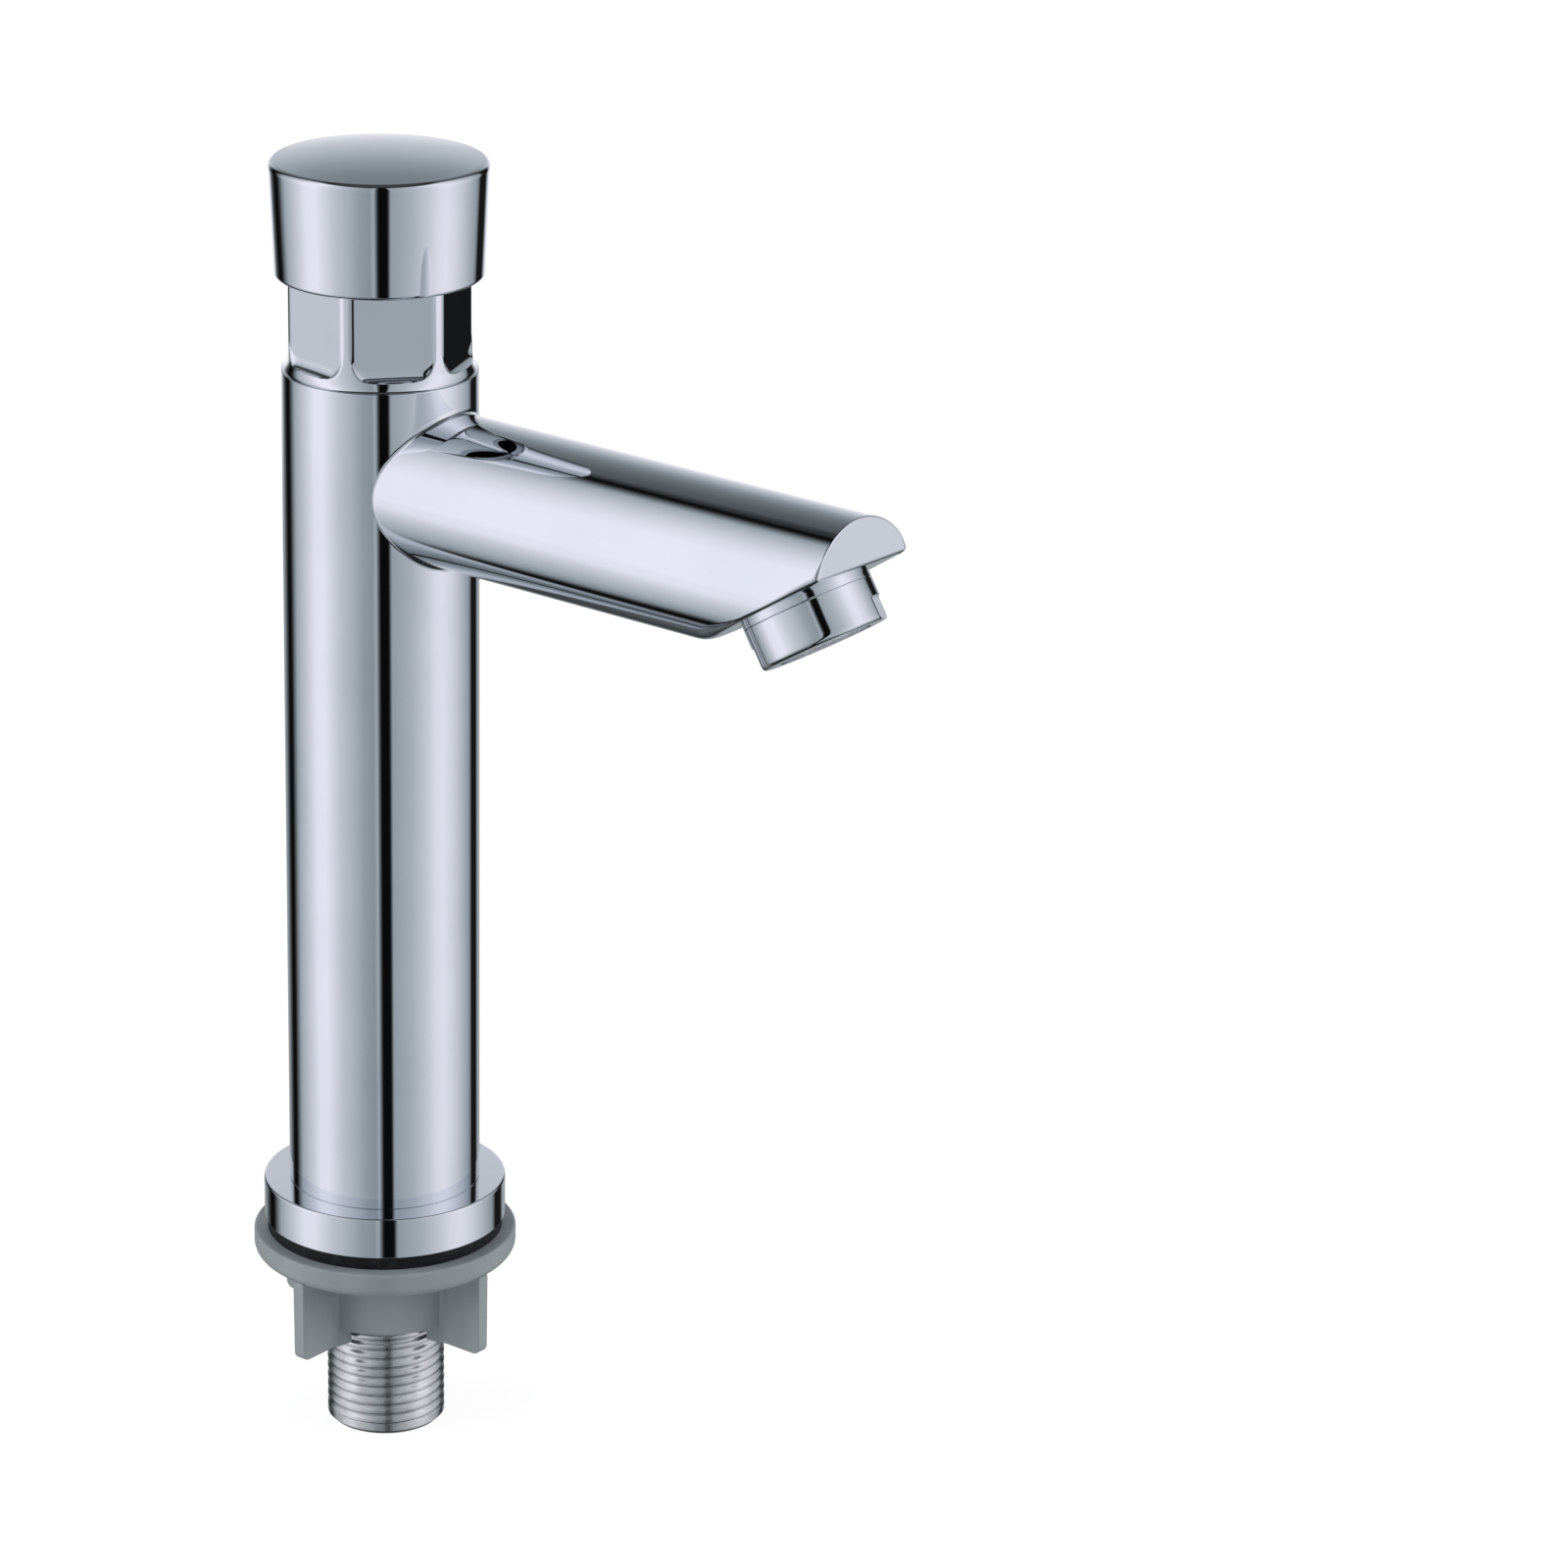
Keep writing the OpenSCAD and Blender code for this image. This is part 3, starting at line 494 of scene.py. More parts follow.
class Graph:
    """The nodes of one material or world."""

    def __init__(self, tree: bpy.types.NodeTree) -> None:
        """Empties the tree and keeps it."""
        self.tree = tree
        tree.nodes.clear()

    def add(
        self,
        kind: str,
        settings: dict[str, object] | None = None,
        sockets: dict[int | str, object] | None = None,
        out: int | str = 0,
    ) -> Signal:
        """Adds a node.

        Args:
            kind: the node's type.
            settings: its settings, set first; "stops" fills a colour ramp.
            sockets: values or signals by the name or number of the socket.
            out: the output that is returned.

        Returns:
            That output as a signal.
        """
        node = self.tree.nodes.new(kind)
        for key, value in (settings or {}).items():
            if key == "stops":
                self._fill(node.color_ramp, value)
            else:
                setattr(node, key, value)
        for key, value in (sockets or {}).items():
            if isinstance(value, Signal):
                self.tree.links.new(value.socket, node.inputs[key])
            else:
                node.inputs[key].default_value = value
        return Signal(self, node.outputs[out] if node.outputs else None)

    @staticmethod
    def _fill(ramp: bpy.types.ColorRamp, stops: Sequence[tuple[float, float]]) -> None:
        """Puts grey stops on a colour ramp.

        Args:
            ramp: the ramp, which loses its own stops.
            stops: place and level of each new stop.
        """
        while len(ramp.elements) > 1:
            ramp.elements.remove(ramp.elements[-1])
        for number, (place, level) in enumerate(stops):
            stop = ramp.elements[0] if number == 0 else ramp.elements.new(place)
            stop.position = place
            stop.color = (level, level, level, 1.0)

    def mix(self, factor: Signal | float, first: object, second: object) -> Signal:
        """Mixes two colours.

        Args:
            factor: 0 for the first colour, 1 for the second.
            first: the first colour.
            second: the second colour.

        Returns:
            The mixed colour.
        """
        return self.add(
            "ShaderNodeMix", {"data_type": "RGBA"}, {0: factor, 6: first, 7: second}, 2
        )

    def ramp(self, place: Signal, stops: Sequence[tuple[float, float]]) -> Signal:
        """Grey levels along a value from 0 to 1."""
        return self.add("ShaderNodeValToRGB", {"stops": stops}, {"Fac": place})

    def dot(self, vector: Signal, other: Signal | tuple[float, float, float]) -> Signal:
        """Measures a vector along another.

        Args:
            vector: the vector.
            other: the direction, or another vector.

        Returns:
            Their dot product.
        """
        return self.add(
            "ShaderNodeVectorMath", {"operation": "DOT_PRODUCT"}, {0: vector, 1: other}, "Value"
        )

    def cast(self, level: Signal) -> Signal:
        """Colour of the tent's cloth at a level: cool where dim, nearly white where bright."""
        return self.mix(level.step(0.25, 0.9), tone(0.88, 1.0, 1.06), tone(0.99, 0.995, 1.05))

    def place(self, stretch: tuple[float, float, float] = (1.0, 1.0, 1.0)) -> Signal:
        """Object coordinates in metres, stretched along the axes."""
        coordinates = self.add("ShaderNodeTexCoord", out="Object")
        return self.add("ShaderNodeMapping", None, {"Vector": coordinates, "Scale": stretch})

    def noise(self, where: Signal, scale: float, detail: float) -> Signal:
        """Lays a noise over the surface.

        Args:
            where: the place on the surface.
            scale: lumps per metre.
            detail: number of finer layers.

        Returns:
            The noise, from 0 to 1.
        """
        return self.add(
            "ShaderNodeTexNoise", None, {"Vector": where, "Scale": scale, "Detail": detail}
        )

    def bump(self, height: Signal, depth: float) -> Signal:
        """Raises a bump.

        Args:
            height: its height, from 0 to 1.
            depth: its real depth, in millimetres.

        Returns:
            The bumped normal.
        """
        return self.add(
            "ShaderNodeBump", None, {"Height": height, "Distance": depth * MM, "Strength": 1.0}
        )


def tone(red: float, green: float, blue: float) -> tuple[float, float, float, float]:
    """A colour with full alpha."""
    return (red, green, blue, 1.0)


@dataclass(frozen=True)
class Lumps:
    """A noise over the surface, and the levels between which it comes to show.

    Attributes:
        scale: lumps per metre.
        detail: number of finer layers.
        start: level up to which nothing shows.
        full: level from which it shows fully.
        stretch: how closely the lumps lie along each axis, as a share.
    """

    scale: float
    detail: float
    start: float = 0.0
    full: float = 1.0
    stretch: tuple[float, float, float] = (1.0, 1.0, 1.0)

    def laid(self, graph: Graph) -> Signal:
        """Lays the plain noise over the surface."""
        return graph.noise(graph.place(self.stretch), self.scale, self.detail)

    def shown(self, graph: Graph) -> Signal:
        """Lays the noise as a mask: 0 where nothing shows, 1 where it shows fully."""
        return self.laid(graph).step(self.start, self.full)


# Finishes


class Finish(ABC):
    """A finish that makes its material once and hands it out."""

    name: str

    @abstractmethod
    def paint(self, graph: Graph) -> Signal:
        """Builds the finish's shader.

        Args:
            graph: the empty graph of its material.

        Returns:
            The shader's output.
        """

    def material(self) -> bpy.types.Material:
        """Makes the finish's material on first use.

        Returns:
            The material.
        """
        made = bpy.data.materials.get(self.name)
        if made is None:
            made = bpy.data.materials.new(self.name)
            made.use_nodes = True
            graph = Graph(made.node_tree)
            surface = self.paint(graph)
            graph.add("ShaderNodeOutputMaterial", None, {"Surface": surface})
        return made

    def on(self, obj: bpy.types.Object) -> None:
        """Puts the finish on every slot of an object.

        Args:
            obj: the object.
        """
        if not obj.material_slots:
            obj.data.materials.append(self.material())
        for slot in obj.material_slots:
            slot.material = self.material()


@dataclass(frozen=True)
class ChromePlate(Finish):
    """Bright chrome plate over buffed brass.

    Attributes:
        name: name of the material.
        bright: colour of the clean plate.
        hazed: colour where a film of handling dulls it.
        gloss: roughness of clean and of hazed plate.
        ripple: depth of the buffing wheel's waves, in millimetres.
        film: patches of the handling film.
        specks: specks of dried water.
        waves: the buffing wheel's waves.
        film_share: how much of the roughness the film makes, the specks making the rest.
    """

    name: str = "chrome_plate"
    bright: tuple[float, float, float] = (0.775, 0.795, 0.845)
    hazed: tuple[float, float, float] = (0.745, 0.766, 0.818)
    gloss: tuple[float, float] = (0.022, 0.055)
    ripple: float = 0.0012
    film: Lumps = Lumps(55.0, 4.0, 0.42, 0.72)
    specks: Lumps = Lumps(900.0, 2.0, 0.62, 0.80)
    waves: Lumps = Lumps(70.0, 1.0, stretch=(1.0, 1.0, 0.35))
    film_share: float = 0.8

    def paint(self, graph: Graph) -> Signal:
        """Mixes clean and hazed plate over faint buffing waves.

        Args:
            graph: the empty graph of its material.

        Returns:
            The shader's output.
        """
        film = self.film.shown(graph)
        haze = film * self.film_share + self.specks.shown(graph) * (1 - self.film_share)
        clean, hazed = self.gloss
        return graph.add(
            "ShaderNodeBsdfPrincipled",
            None,
            {
                "Base Color": graph.mix(film, tone(*self.bright), tone(*self.hazed)),
                "Metallic": 1.0,
                "Roughness": clean + (hazed - clean) * haze,
                "Normal": graph.bump(self.waves.laid(graph), self.ripple),
            },
        )


@dataclass(frozen=True)
class MachinedSteel(Finish):
    """Bare metal with the fine rings that a turning tool leaves.

    Attributes:
        name: name of the material.
        light: colour of the freshly cut metal.
        dull: colour in the tool marks and stains.
        rings: the tool marks, which lie along Z.
        gloss: lowest and highest roughness.
        stain: patches of stain.
        shares: how much the tool marks and the stain dull the metal.
        groove: depth of the tool marks, in millimetres.
    """

    name: str = "machined_steel"
    light: tuple[float, float, float] = (0.78, 0.78, 0.785)
    dull: tuple[float, float, float] = (0.50, 0.495, 0.49)
    rings: Lumps = Lumps(9000.0, 2.0, 0.35, 0.70, (0.06, 0.06, 1.0))
    gloss: tuple[float, float] = (0.20, 0.36)
    stain: Lumps = Lumps(260.0, 4.0, 0.35, 0.75)
    shares: tuple[float, float] = (0.3375, 0.4125)
    groove: float = 0.006

    def paint(self, graph: Graph) -> Signal:
        """Lays turned rings and a light stain over the metal.

        Args:
            graph: the empty graph of its material.

        Returns:
            The shader's output.
        """
        marks, stains = self.shares
        wear = self.rings.shown(graph) * marks + self.stain.shown(graph) * stains
        fine, coarse = self.gloss
        return graph.add(
            "ShaderNodeBsdfPrincipled",
            None,
            {
                "Base Color": graph.mix(wear, tone(*self.light), tone(*self.dull)),
                "Metallic": 1.0,
                "Roughness": fine + (coarse - fine) * wear,
                "Normal": graph.bump(self.rings.laid(graph), self.groove),
            },
        )


@dataclass(frozen=True)
class MouldedPlastic(Finish):
    """Injection-moulded plastic with a fine, slightly cloudy skin.

    Attributes:
        name: name of the material.
        skin: colour of most of the surface.
        cloud: colour of the faint flow marks.
        gloss: lowest and highest roughness.
        flow: the flow marks.
        grain: the grain of the skin.
        grain_depth: depth of the grain, in millimetres.
        index: refractive index of the plastic.
    """

    name: str
    skin: tuple[float, float, float]
    cloud: tuple[float, float, float]
    gloss: tuple[float, float] = (0.42, 0.60)
    flow: Lumps = Lumps(150.0, 4.0, 0.30, 0.75, (1.0, 1.0, 0.45))
    grain: Lumps = Lumps(4200.0, 2.0)
    grain_depth: float = 0.010
    index: float = 1.46

    def paint(self, graph: Graph) -> Signal:
        """Clouds the skin with flow marks and gives it a fine grain.

        Args:
            graph: the empty graph of its material.

        Returns:
            The shader's output.
        """
        flow = self.flow.shown(graph)
        smooth, cloudy = self.gloss
        return graph.add(
            "ShaderNodeBsdfPrincipled",
            None,
            {
                "Base Color": graph.mix(flow, tone(*self.skin), tone(*self.cloud)),
                "Roughness": smooth + (cloudy - smooth) * flow,
                "IOR": self.index,
                "Normal": graph.bump(self.grain.laid(graph), self.grain_depth),
            },
        )


@dataclass(frozen=True)
class PressedRubber(Finish):
    """Black sealing rubber with a dusty, slightly rough skin.

    Attributes:
        name: name of the material.
        clean: colour of the clean rubber.
        dusty: colour where dust lies on it.
        gloss: roughness of the clean and of the dusty rubber.
        dust: patches of dust.
        pits: pits of the skin.
        pit_depth: depth of the pits, in millimetres.
        index: refractive index of the rubber.
    """

    name: str = "pressed_rubber"
    clean: tuple[float, float, float] = (0.006, 0.007, 0.009)
    dusty: tuple[float, float, float] = (0.020, 0.021, 0.024)
    gloss: tuple[float, float] = (0.50, 0.75)
    dust: Lumps = Lumps(700.0, 5.0, 0.45, 0.80)
    pits: Lumps = Lumps(3000.0, 3.0)
    pit_depth: float = 0.02
    index: float = 1.3

    def paint(self, graph: Graph) -> Signal:
        """Dusts the rubber and pits its skin.

        Args:
            graph: the empty graph of its material.

        Returns:
            The shader's output.
        """
        dust = self.dust.shown(graph)
        clean, dusty = self.gloss
        return graph.add(
            "ShaderNodeBsdfPrincipled",
            None,
            {
                "Base Color": graph.mix(dust, tone(*self.clean), tone(*self.dusty)),
                "Roughness": clean + (dusty - clean) * dust,
                "IOR": self.index,
                "Normal": graph.bump(self.pits.laid(graph), self.pit_depth),
            },
        )


@dataclass(frozen=True)
class Finishes:
    """The finishes of the tap, by material slot."""

    chrome: ChromePlate = ChromePlate()
    steel: MachinedSteel = MachinedSteel()
    brass: MachinedSteel = MachinedSteel(
        "turned_brass",
        (0.86, 0.70, 0.38),
        (0.55, 0.40, 0.19),
        Lumps(7000.0, 2.0, 0.35, 0.70, (0.06, 0.06, 1.0)),
        (0.18, 0.36),
    )
    rubber: PressedRubber = PressedRubber()
    grey: MouldedPlastic = MouldedPlastic(
        "grey_moulding", (0.272, 0.300, 0.312), (0.238, 0.266, 0.276)
    )
    white: MouldedPlastic = MouldedPlastic(
        "white_moulding", (0.80, 0.80, 0.77), (0.72, 0.72, 0.69), (0.35, 0.50)
    )
    blue: MouldedPlastic = MouldedPlastic(
        "blue_moulding", (0.055, 0.150, 0.340), (0.045, 0.120, 0.290), (0.30, 0.45)
    )

    def of(self, slot: Slot) -> Finish:
        """Finds the finish of a material slot.

        Args:
            slot: the slot.

        Returns:
            Its finish.
        """
        return {
            Slot.CHROME: self.chrome,
            Slot.STEEL: self.steel,
            Slot.BRASS: self.brass,
            Slot.RUBBER: self.rubber,
            Slot.GREY: self.grey,
            Slot.WHITE: self.white,
            Slot.BLUE: self.blue,
        }[slot]


FINISHES = Finishes()


# Sub-assemblies


class SubAssembly(ABC):
    """A group of pieces that is built, finished and hung on its body."""

    @abstractmethod
    def build(self) -> None:
        """Models the group's pieces and dresses them."""

    @staticmethod
    def dress(obj: bpy.types.Object, slot: Slot, body: Body, node: str) -> None:
        """Finishes a piece, hangs it on a body and lets it stand for a solid.

        Args:
            obj: the finished piece.
            slot: the material slot that it takes its finish from.
            body: the body that it moves with.
            node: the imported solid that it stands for.
        """
        FINISHES.of(slot).on(obj)
        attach(obj, body.value)
        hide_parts(node)
        faces = sum(len(p.vertices) - 2 for p in obj.data.polygons)
        log.info("%s: %d triangles, stands for %s", obj.name, faces, node)


@dataclass
class Base(SubAssembly):
    """Flange and gasket under the pillar.

    Attributes:
        gasket_r: outer radius of the gasket.
        gasket_t: thickness of the gasket.
        flange_r: outer radius of the flange.
        flange_t: height of the flange.
        edge: rounding of the flange's upper edge.
        low_edge: rounding of its lower edge.
        gasket_edge: rounding of the gasket.
        bore_r: bore around the shank.
        under: width of the flat ring inside the flange's lower edge.
        land_r: radius of the flat ring round the pillar's foot.
    """

    gasket_r: float = 20.9
    gasket_t: float = 2.4
    flange_r: float = 21.4
    flange_t: float = 7.4
    edge: float = 0.4
    low_edge: float = 0.15
    gasket_edge: float = 0.2
    bore_r: float = 10.6775
    under: float = 3.0
    land_r: float = 17.6

    def build(self) -> None:
        """Turns the flange and the gasket."""
        low, top = self.gasket_t, self.gasket_t + self.flange_t
        inner, crisp = self.flange_r - self.edge, self.low_edge
        section = [(self.bore_r, low), (inner - self.under, low)]
        section += arc((self.flange_r - crisp, low + crisp), crisp, -90, 0, 4)
        section += arc((inner, top - self.edge), self.edge, 0, 90)
        section += [(self.land_r, top), (self.bore_r, top)]
        flange = polished(turned("chrome_flange", section, 256))
        self.dress(flange, Slot.CHROME, Body.TAP, "base_flange")
        soft = self.gasket_edge
        rim = self.gasket_r - soft
        section = [(self.bore_r, 0.0)]
        section += arc((rim, soft), soft, -90, 0, 4)
        section += arc((rim, low - soft), soft, 0, 90, 4)
        section += [(self.bore_r, low)]
        gasket = polished(turned("rubber_gasket", section))
        self.dress(gasket, Slot.RUBBER, Body.TAP, "base_gasket")


@dataclass
class Pillar(SubAssembly):
    """The tall tube that stands on the flange.

    Attributes:
        radius: outer radius.
        low: height of its foot.
        top: height of its top edge.
        foot_edge: rounding of the lower edge.
        top_edge: rounding of the upper edge.
        thread_r: bore that takes the bonnet's screw thread.
        thread_low: height at which that bore ends.
        chamber_r: radius of the valve chamber.
        shelf_z: height of the shelf under the valve seat.
        column_r: radius of the water column.
        socket_r: radius of the socket for the shank.
        socket_top: height at which the socket ends.
    """

    radius: float = 16.85
    low: float = 9.8
    top: float = 158.4
    foot_edge: float = 0.15
    top_edge: float = 0.2
    thread_r: float = 14.05
    thread_low: float = 148.4
    chamber_r: float = 13.0
    shelf_z: float = 106.4
    column_r: float = 9.0
    socket_r: float = 10.5275
    socket_top: float = 29.8

    def build(self) -> None:
        """Turns the tube with its column, chamber and sockets."""
        foot, rim = self.foot_edge, self.top_edge
        section = [(self.socket_r, self.low)]
        section += arc((self.radius - foot, self.low + foot), foot, -90, 0, 4)
        section += arc((self.radius - rim, self.top - rim), rim, 0, 90, 4)
        section += [
            (self.thread_r, self.top),
            (self.thread_r, self.thread_low),
            (self.chamber_r, self.thread_low),
            (self.chamber_r, self.shelf_z),
            (self.column_r, self.shelf_z),
            (self.column_r, self.socket_top),
            (self.socket_r, self.socket_top),
        ]
        tube = polished(turned("chrome_pillar", section, 256))
        self.dress(tube, Slot.CHROME, Body.TAP, "pillar_body")


@dataclass
class Spout(SubAssembly):
    """Straight round spout with a slanting underside and the ring round its outlet.

    Attributes:
        radius: outer radius.
        axis_z: height of its axis.
        pillar_r: radius of the pillar that it runs into.
        fillet: radius of the brazed fillet at the pillar.
        tip_rim: rounding of the tip, where the end face meets the underside.
        rims: rounding of the end by angle from the top, in degrees and millimetres.
        reach: reach of the upper edge.
        lean: lean of the end face from vertical, in degrees.
        cut_start: distance from the pillar's axis at which the underside starts to rise.
        cut_angle: rise of the underside, in degrees.
        outlet_r: outer radius of the ring round the outlet.
        outlet_bore_r: bore of that ring.
        outlet_place: distance of the outlet's centre up the underside.
        outlet_ring_h: height of that ring.
        outlet_soft: rounding of its lower edge.
        ring_in: depth to which the ring goes into the spout.
        root_in: depth to which the spout's root goes into the pillar.
        upper_points: points of the outline along the end face.
        lower_points: points along the underside.
        corner_steps: steps of the blend between the two.
        root_steps: steps of the fillet at the pillar.
        rim_steps: steps of the rounding of the end.
    """

    radius: float = 13.3
    axis_z: float = 140.0
    pillar_r: float = 16.85
    fillet: float = 0.9
    tip_rim: float = 1.0
    rims: tuple[tuple[float, float], ...] = (
        (0, 0.3), (48, 0.3), (66.5, 1.0), (92, 0.7), (104, 0.9), (132, 4.6), (160, 5.4),
        (180, 5.4),
    )
    reach: float = 103.9
    lean: float = 4.8
    cut_start: float = 75.2
    cut_angle: float = 32.2
    outlet_r: float = 11.3
    outlet_bore_r: float = 10.05
    outlet_place: float = 20.7
    outlet_ring_h: float = 1.4
    outlet_soft: float = 0.15
    ring_in: float = 0.6
    root_in: float = 0.35
    upper_points: int = 89
    lower_points: int = 161
    corner_steps: int = 5
    root_steps: int = 8
    rim_steps: int = 6

    def outlet_matrix(self) -> Matrix:
        """Finds the place of the outlet on the underside.

        Returns:
            Its matrix in metres, with +Z up into the spout.
        """
        slope = math.radians(self.cut_angle)
        x = self.cut_start + self.outlet_place * math.cos(slope)
        z = self.axis_z - self.radius + self.outlet_place * math.sin(slope)
        return Matrix.Translation((0, -x * MM, z * MM)) @ Matrix.Rotation(-slope, 4, "X")

    def _face_normals(self) -> tuple[Vector, Vector]:
        """Finds how the spout's two end faces lie.

        Returns:
            Outward normals of the end face and of the underside.
        """
        lean, slope = math.radians(self.lean), math.radians(self.cut_angle)
        return (
            Vector((0, -math.cos(lean), math.sin(lean))),
            Vector((0, -math.sin(slope), -math.cos(slope))),
        )

    def _rim_at(self, angle: float) -> float:
        """Rounding at an angle about the spout's axis, from the top.

        Args:
            angle: angle between 0 and a full turn on either side.

        Returns:
            The radius of the ball that rolls along the edge, in millimetres.
        """
        from_top = abs(math.degrees(math.remainder(angle, math.tau)))
        for (start, first), (stop, last) in zip(self.rims, self.rims[1:]):
            if from_top <= stop:
                share = (from_top - start) / (stop - start)
                return first + (last - first) * share * share * (3 - 2 * share)
        return self.rims[-1][1]

    def _ball_reach(self, z: float, ball: float) -> float:
        """Rolls a ball out until it touches the end face or the underside.

        Args:
            z: height of the ball's centre.
            ball: its radius.

        Returns:
            Distance of its centre from the pillar's axis.
        """
        lean, slope = math.radians(self.lean), math.radians(self.cut_angle)
        top, low = self.axis_z + self.radius, self.axis_z - self.radius
        end = self.reach + (-ball - (z - top) * math.sin(lean)) / math.cos(lean)
        cut = self.cut_start + (-ball + (z - low) * math.cos(slope)) / math.sin(slope)
        return min(end, cut)

    def _corner_angle(self) -> float:
        """Finds where the end face gives way to the underside.

        Returns:
            The angle about the spout's axis, from the top.
        """
        lean, slope = math.radians(self.lean), math.radians(self.cut_angle)
        top, low = self.axis_z + self.radius, self.axis_z - self.radius
        z = (
            self.reach
            - self.tip_rim / math.cos(lean)
            + top * math.tan(lean)
            - self.cut_start
            + self.tip_rim / math.sin(slope)
            + low / math.tan(slope)
        ) / (1 / math.tan(slope) + math.tan(lean))
        return math.acos((z - self.axis_z) / (self.radius - self.tip_rim))

    def _root_point(self, angle: float, share: float, sunk: float = 0.0) -> Vector:
        """A point on the fillet at the pillar.

        Args:
            angle: angle about the spout's axis, from the top.
            share: 0 on the pillar's skin, 1 on the spout's.
            sunk: depth under the pillar's skin, in millimetres.

        Returns:
            The point in metres.
        """
        ball = self.radius + self.fillet
        side, up = math.sin(angle), math.cos(angle)
        out = self.pillar_r + self.fillet
        centre = Vector((ball * side, -math.sqrt(out**2 - (ball * side) ** 2), 0))
        to_pillar = -centre / out
        to_spout = Vector((-side, 0, -up))
        centre.z = self.axis_z + ball * up
        return (centre + to_pillar.slerp(to_spout, share) * (self.fillet + sunk)) * MM

    def _rim_point(self, angle: float, face: Vector, share: float) -> Vector:
        """A point on the rounding between the spout's skin and one of its faces.

        Args:
            angle: angle about the spout's axis, from the top.
            face: outward normal of the face.
            share: 0 on the skin, 1 on the face.

        Returns:
            The point in metres.
        """
        ball = self._rim_at(angle)
        inner = self.radius - ball
        side, up = math.sin(angle), math.cos(angle)
        z = self.axis_z + inner * up
        centre = Vector((inner * side, -self._ball_reach(z, ball), z))
        return (centre + Vector((side, 0, up)).slerp(face, share) * ball) * MM

    def _outline(self) -> list[list[tuple[float, Vector]]]:
        """Lays out the spout's outline, as angles about its axis with the face at each.

        Returns:
            Its four stretches: along the end face, round the first corner, along the
            underside, and round the other corner.
        """
        end, under = self._face_normals()
        corner = self._corner_angle()
        blend = [end.slerp(under, i / self.corner_steps) for i in range(1, self.corner_steps)]
        uppers = np.linspace(-corner, corner, self.upper_points)
        lowers = np.linspace(corner, math.tau - corner, self.lower_points)
        return [
            [(angle, end) for angle in uppers],
            [(corner, face) for face in blend],
            [(angle, under) for angle in lowers],
            [(math.tau - corner, face) for face in reversed(blend)],
        ]

    def _close(self, spout: bpy.types.Object, last: Sequence[Vector]) -> None:
        """Fills the end face, the underside and the blend between them.

        Args:
            spout: the lofted spout, open at its end.
            last: the points of its last ring.
        """
        upper, lower, steps = self.upper_points, self.lower_points, self.corner_steps
        first_low = upper + steps - 1
        right = [last[i] for i in range(upper - 1, first_low + 1)]
        left = [last[0]] + [last[-1 - i] for i in range(steps - 1)]
        left.append(last[first_low + lower - 1])
        faces = [[right[i], right[i + 1], left[i + 1], left[i]] for i in range(steps)]
        faces += [last[:upper], last[first_low : first_low + lower]]
        with EditMode(spout) as bench:
            for face in faces:
                bench.pick_points(face)
                bpy.ops.mesh.edge_face_add()
            bench.heal()

    def build(self) -> None:
        """Lofts the spout, closes its faces and adds the outlet's ring."""
        outline = sum(self._outline(), [])
        rings = [[self._root_point(a, 0.0, self.root_in) for a, _ in outline]]
        for i in range(self.root_steps + 1):
            rings.append([self._root_point(a, i / self.root_steps) for a, _ in outline])
        for i in range(self.rim_steps + 1):
            rings.append([self._rim_point(a, face, i / self.rim_steps) for a, face in outline])
        spout = lofted("chrome_spout", rings)
        self._close(spout, rings[-1])
        soft, top = self.outlet_soft, self.ring_in
        ring_r, low = self.outlet_r - soft, -self.outlet_ring_h
        section = [(self.outlet_bore_r, top), (self.outlet_bore_r, low)]
        section += arc((ring_r, low + soft), soft, -90, 0, 3) + [(self.outlet_r, top)]
        ring = placed(turned("outlet_ring", section), self.outlet_matrix())
        spout = polished(joined(spout, ring))
        self.dress(spout, Slot.CHROME, Body.TAP, "spout")


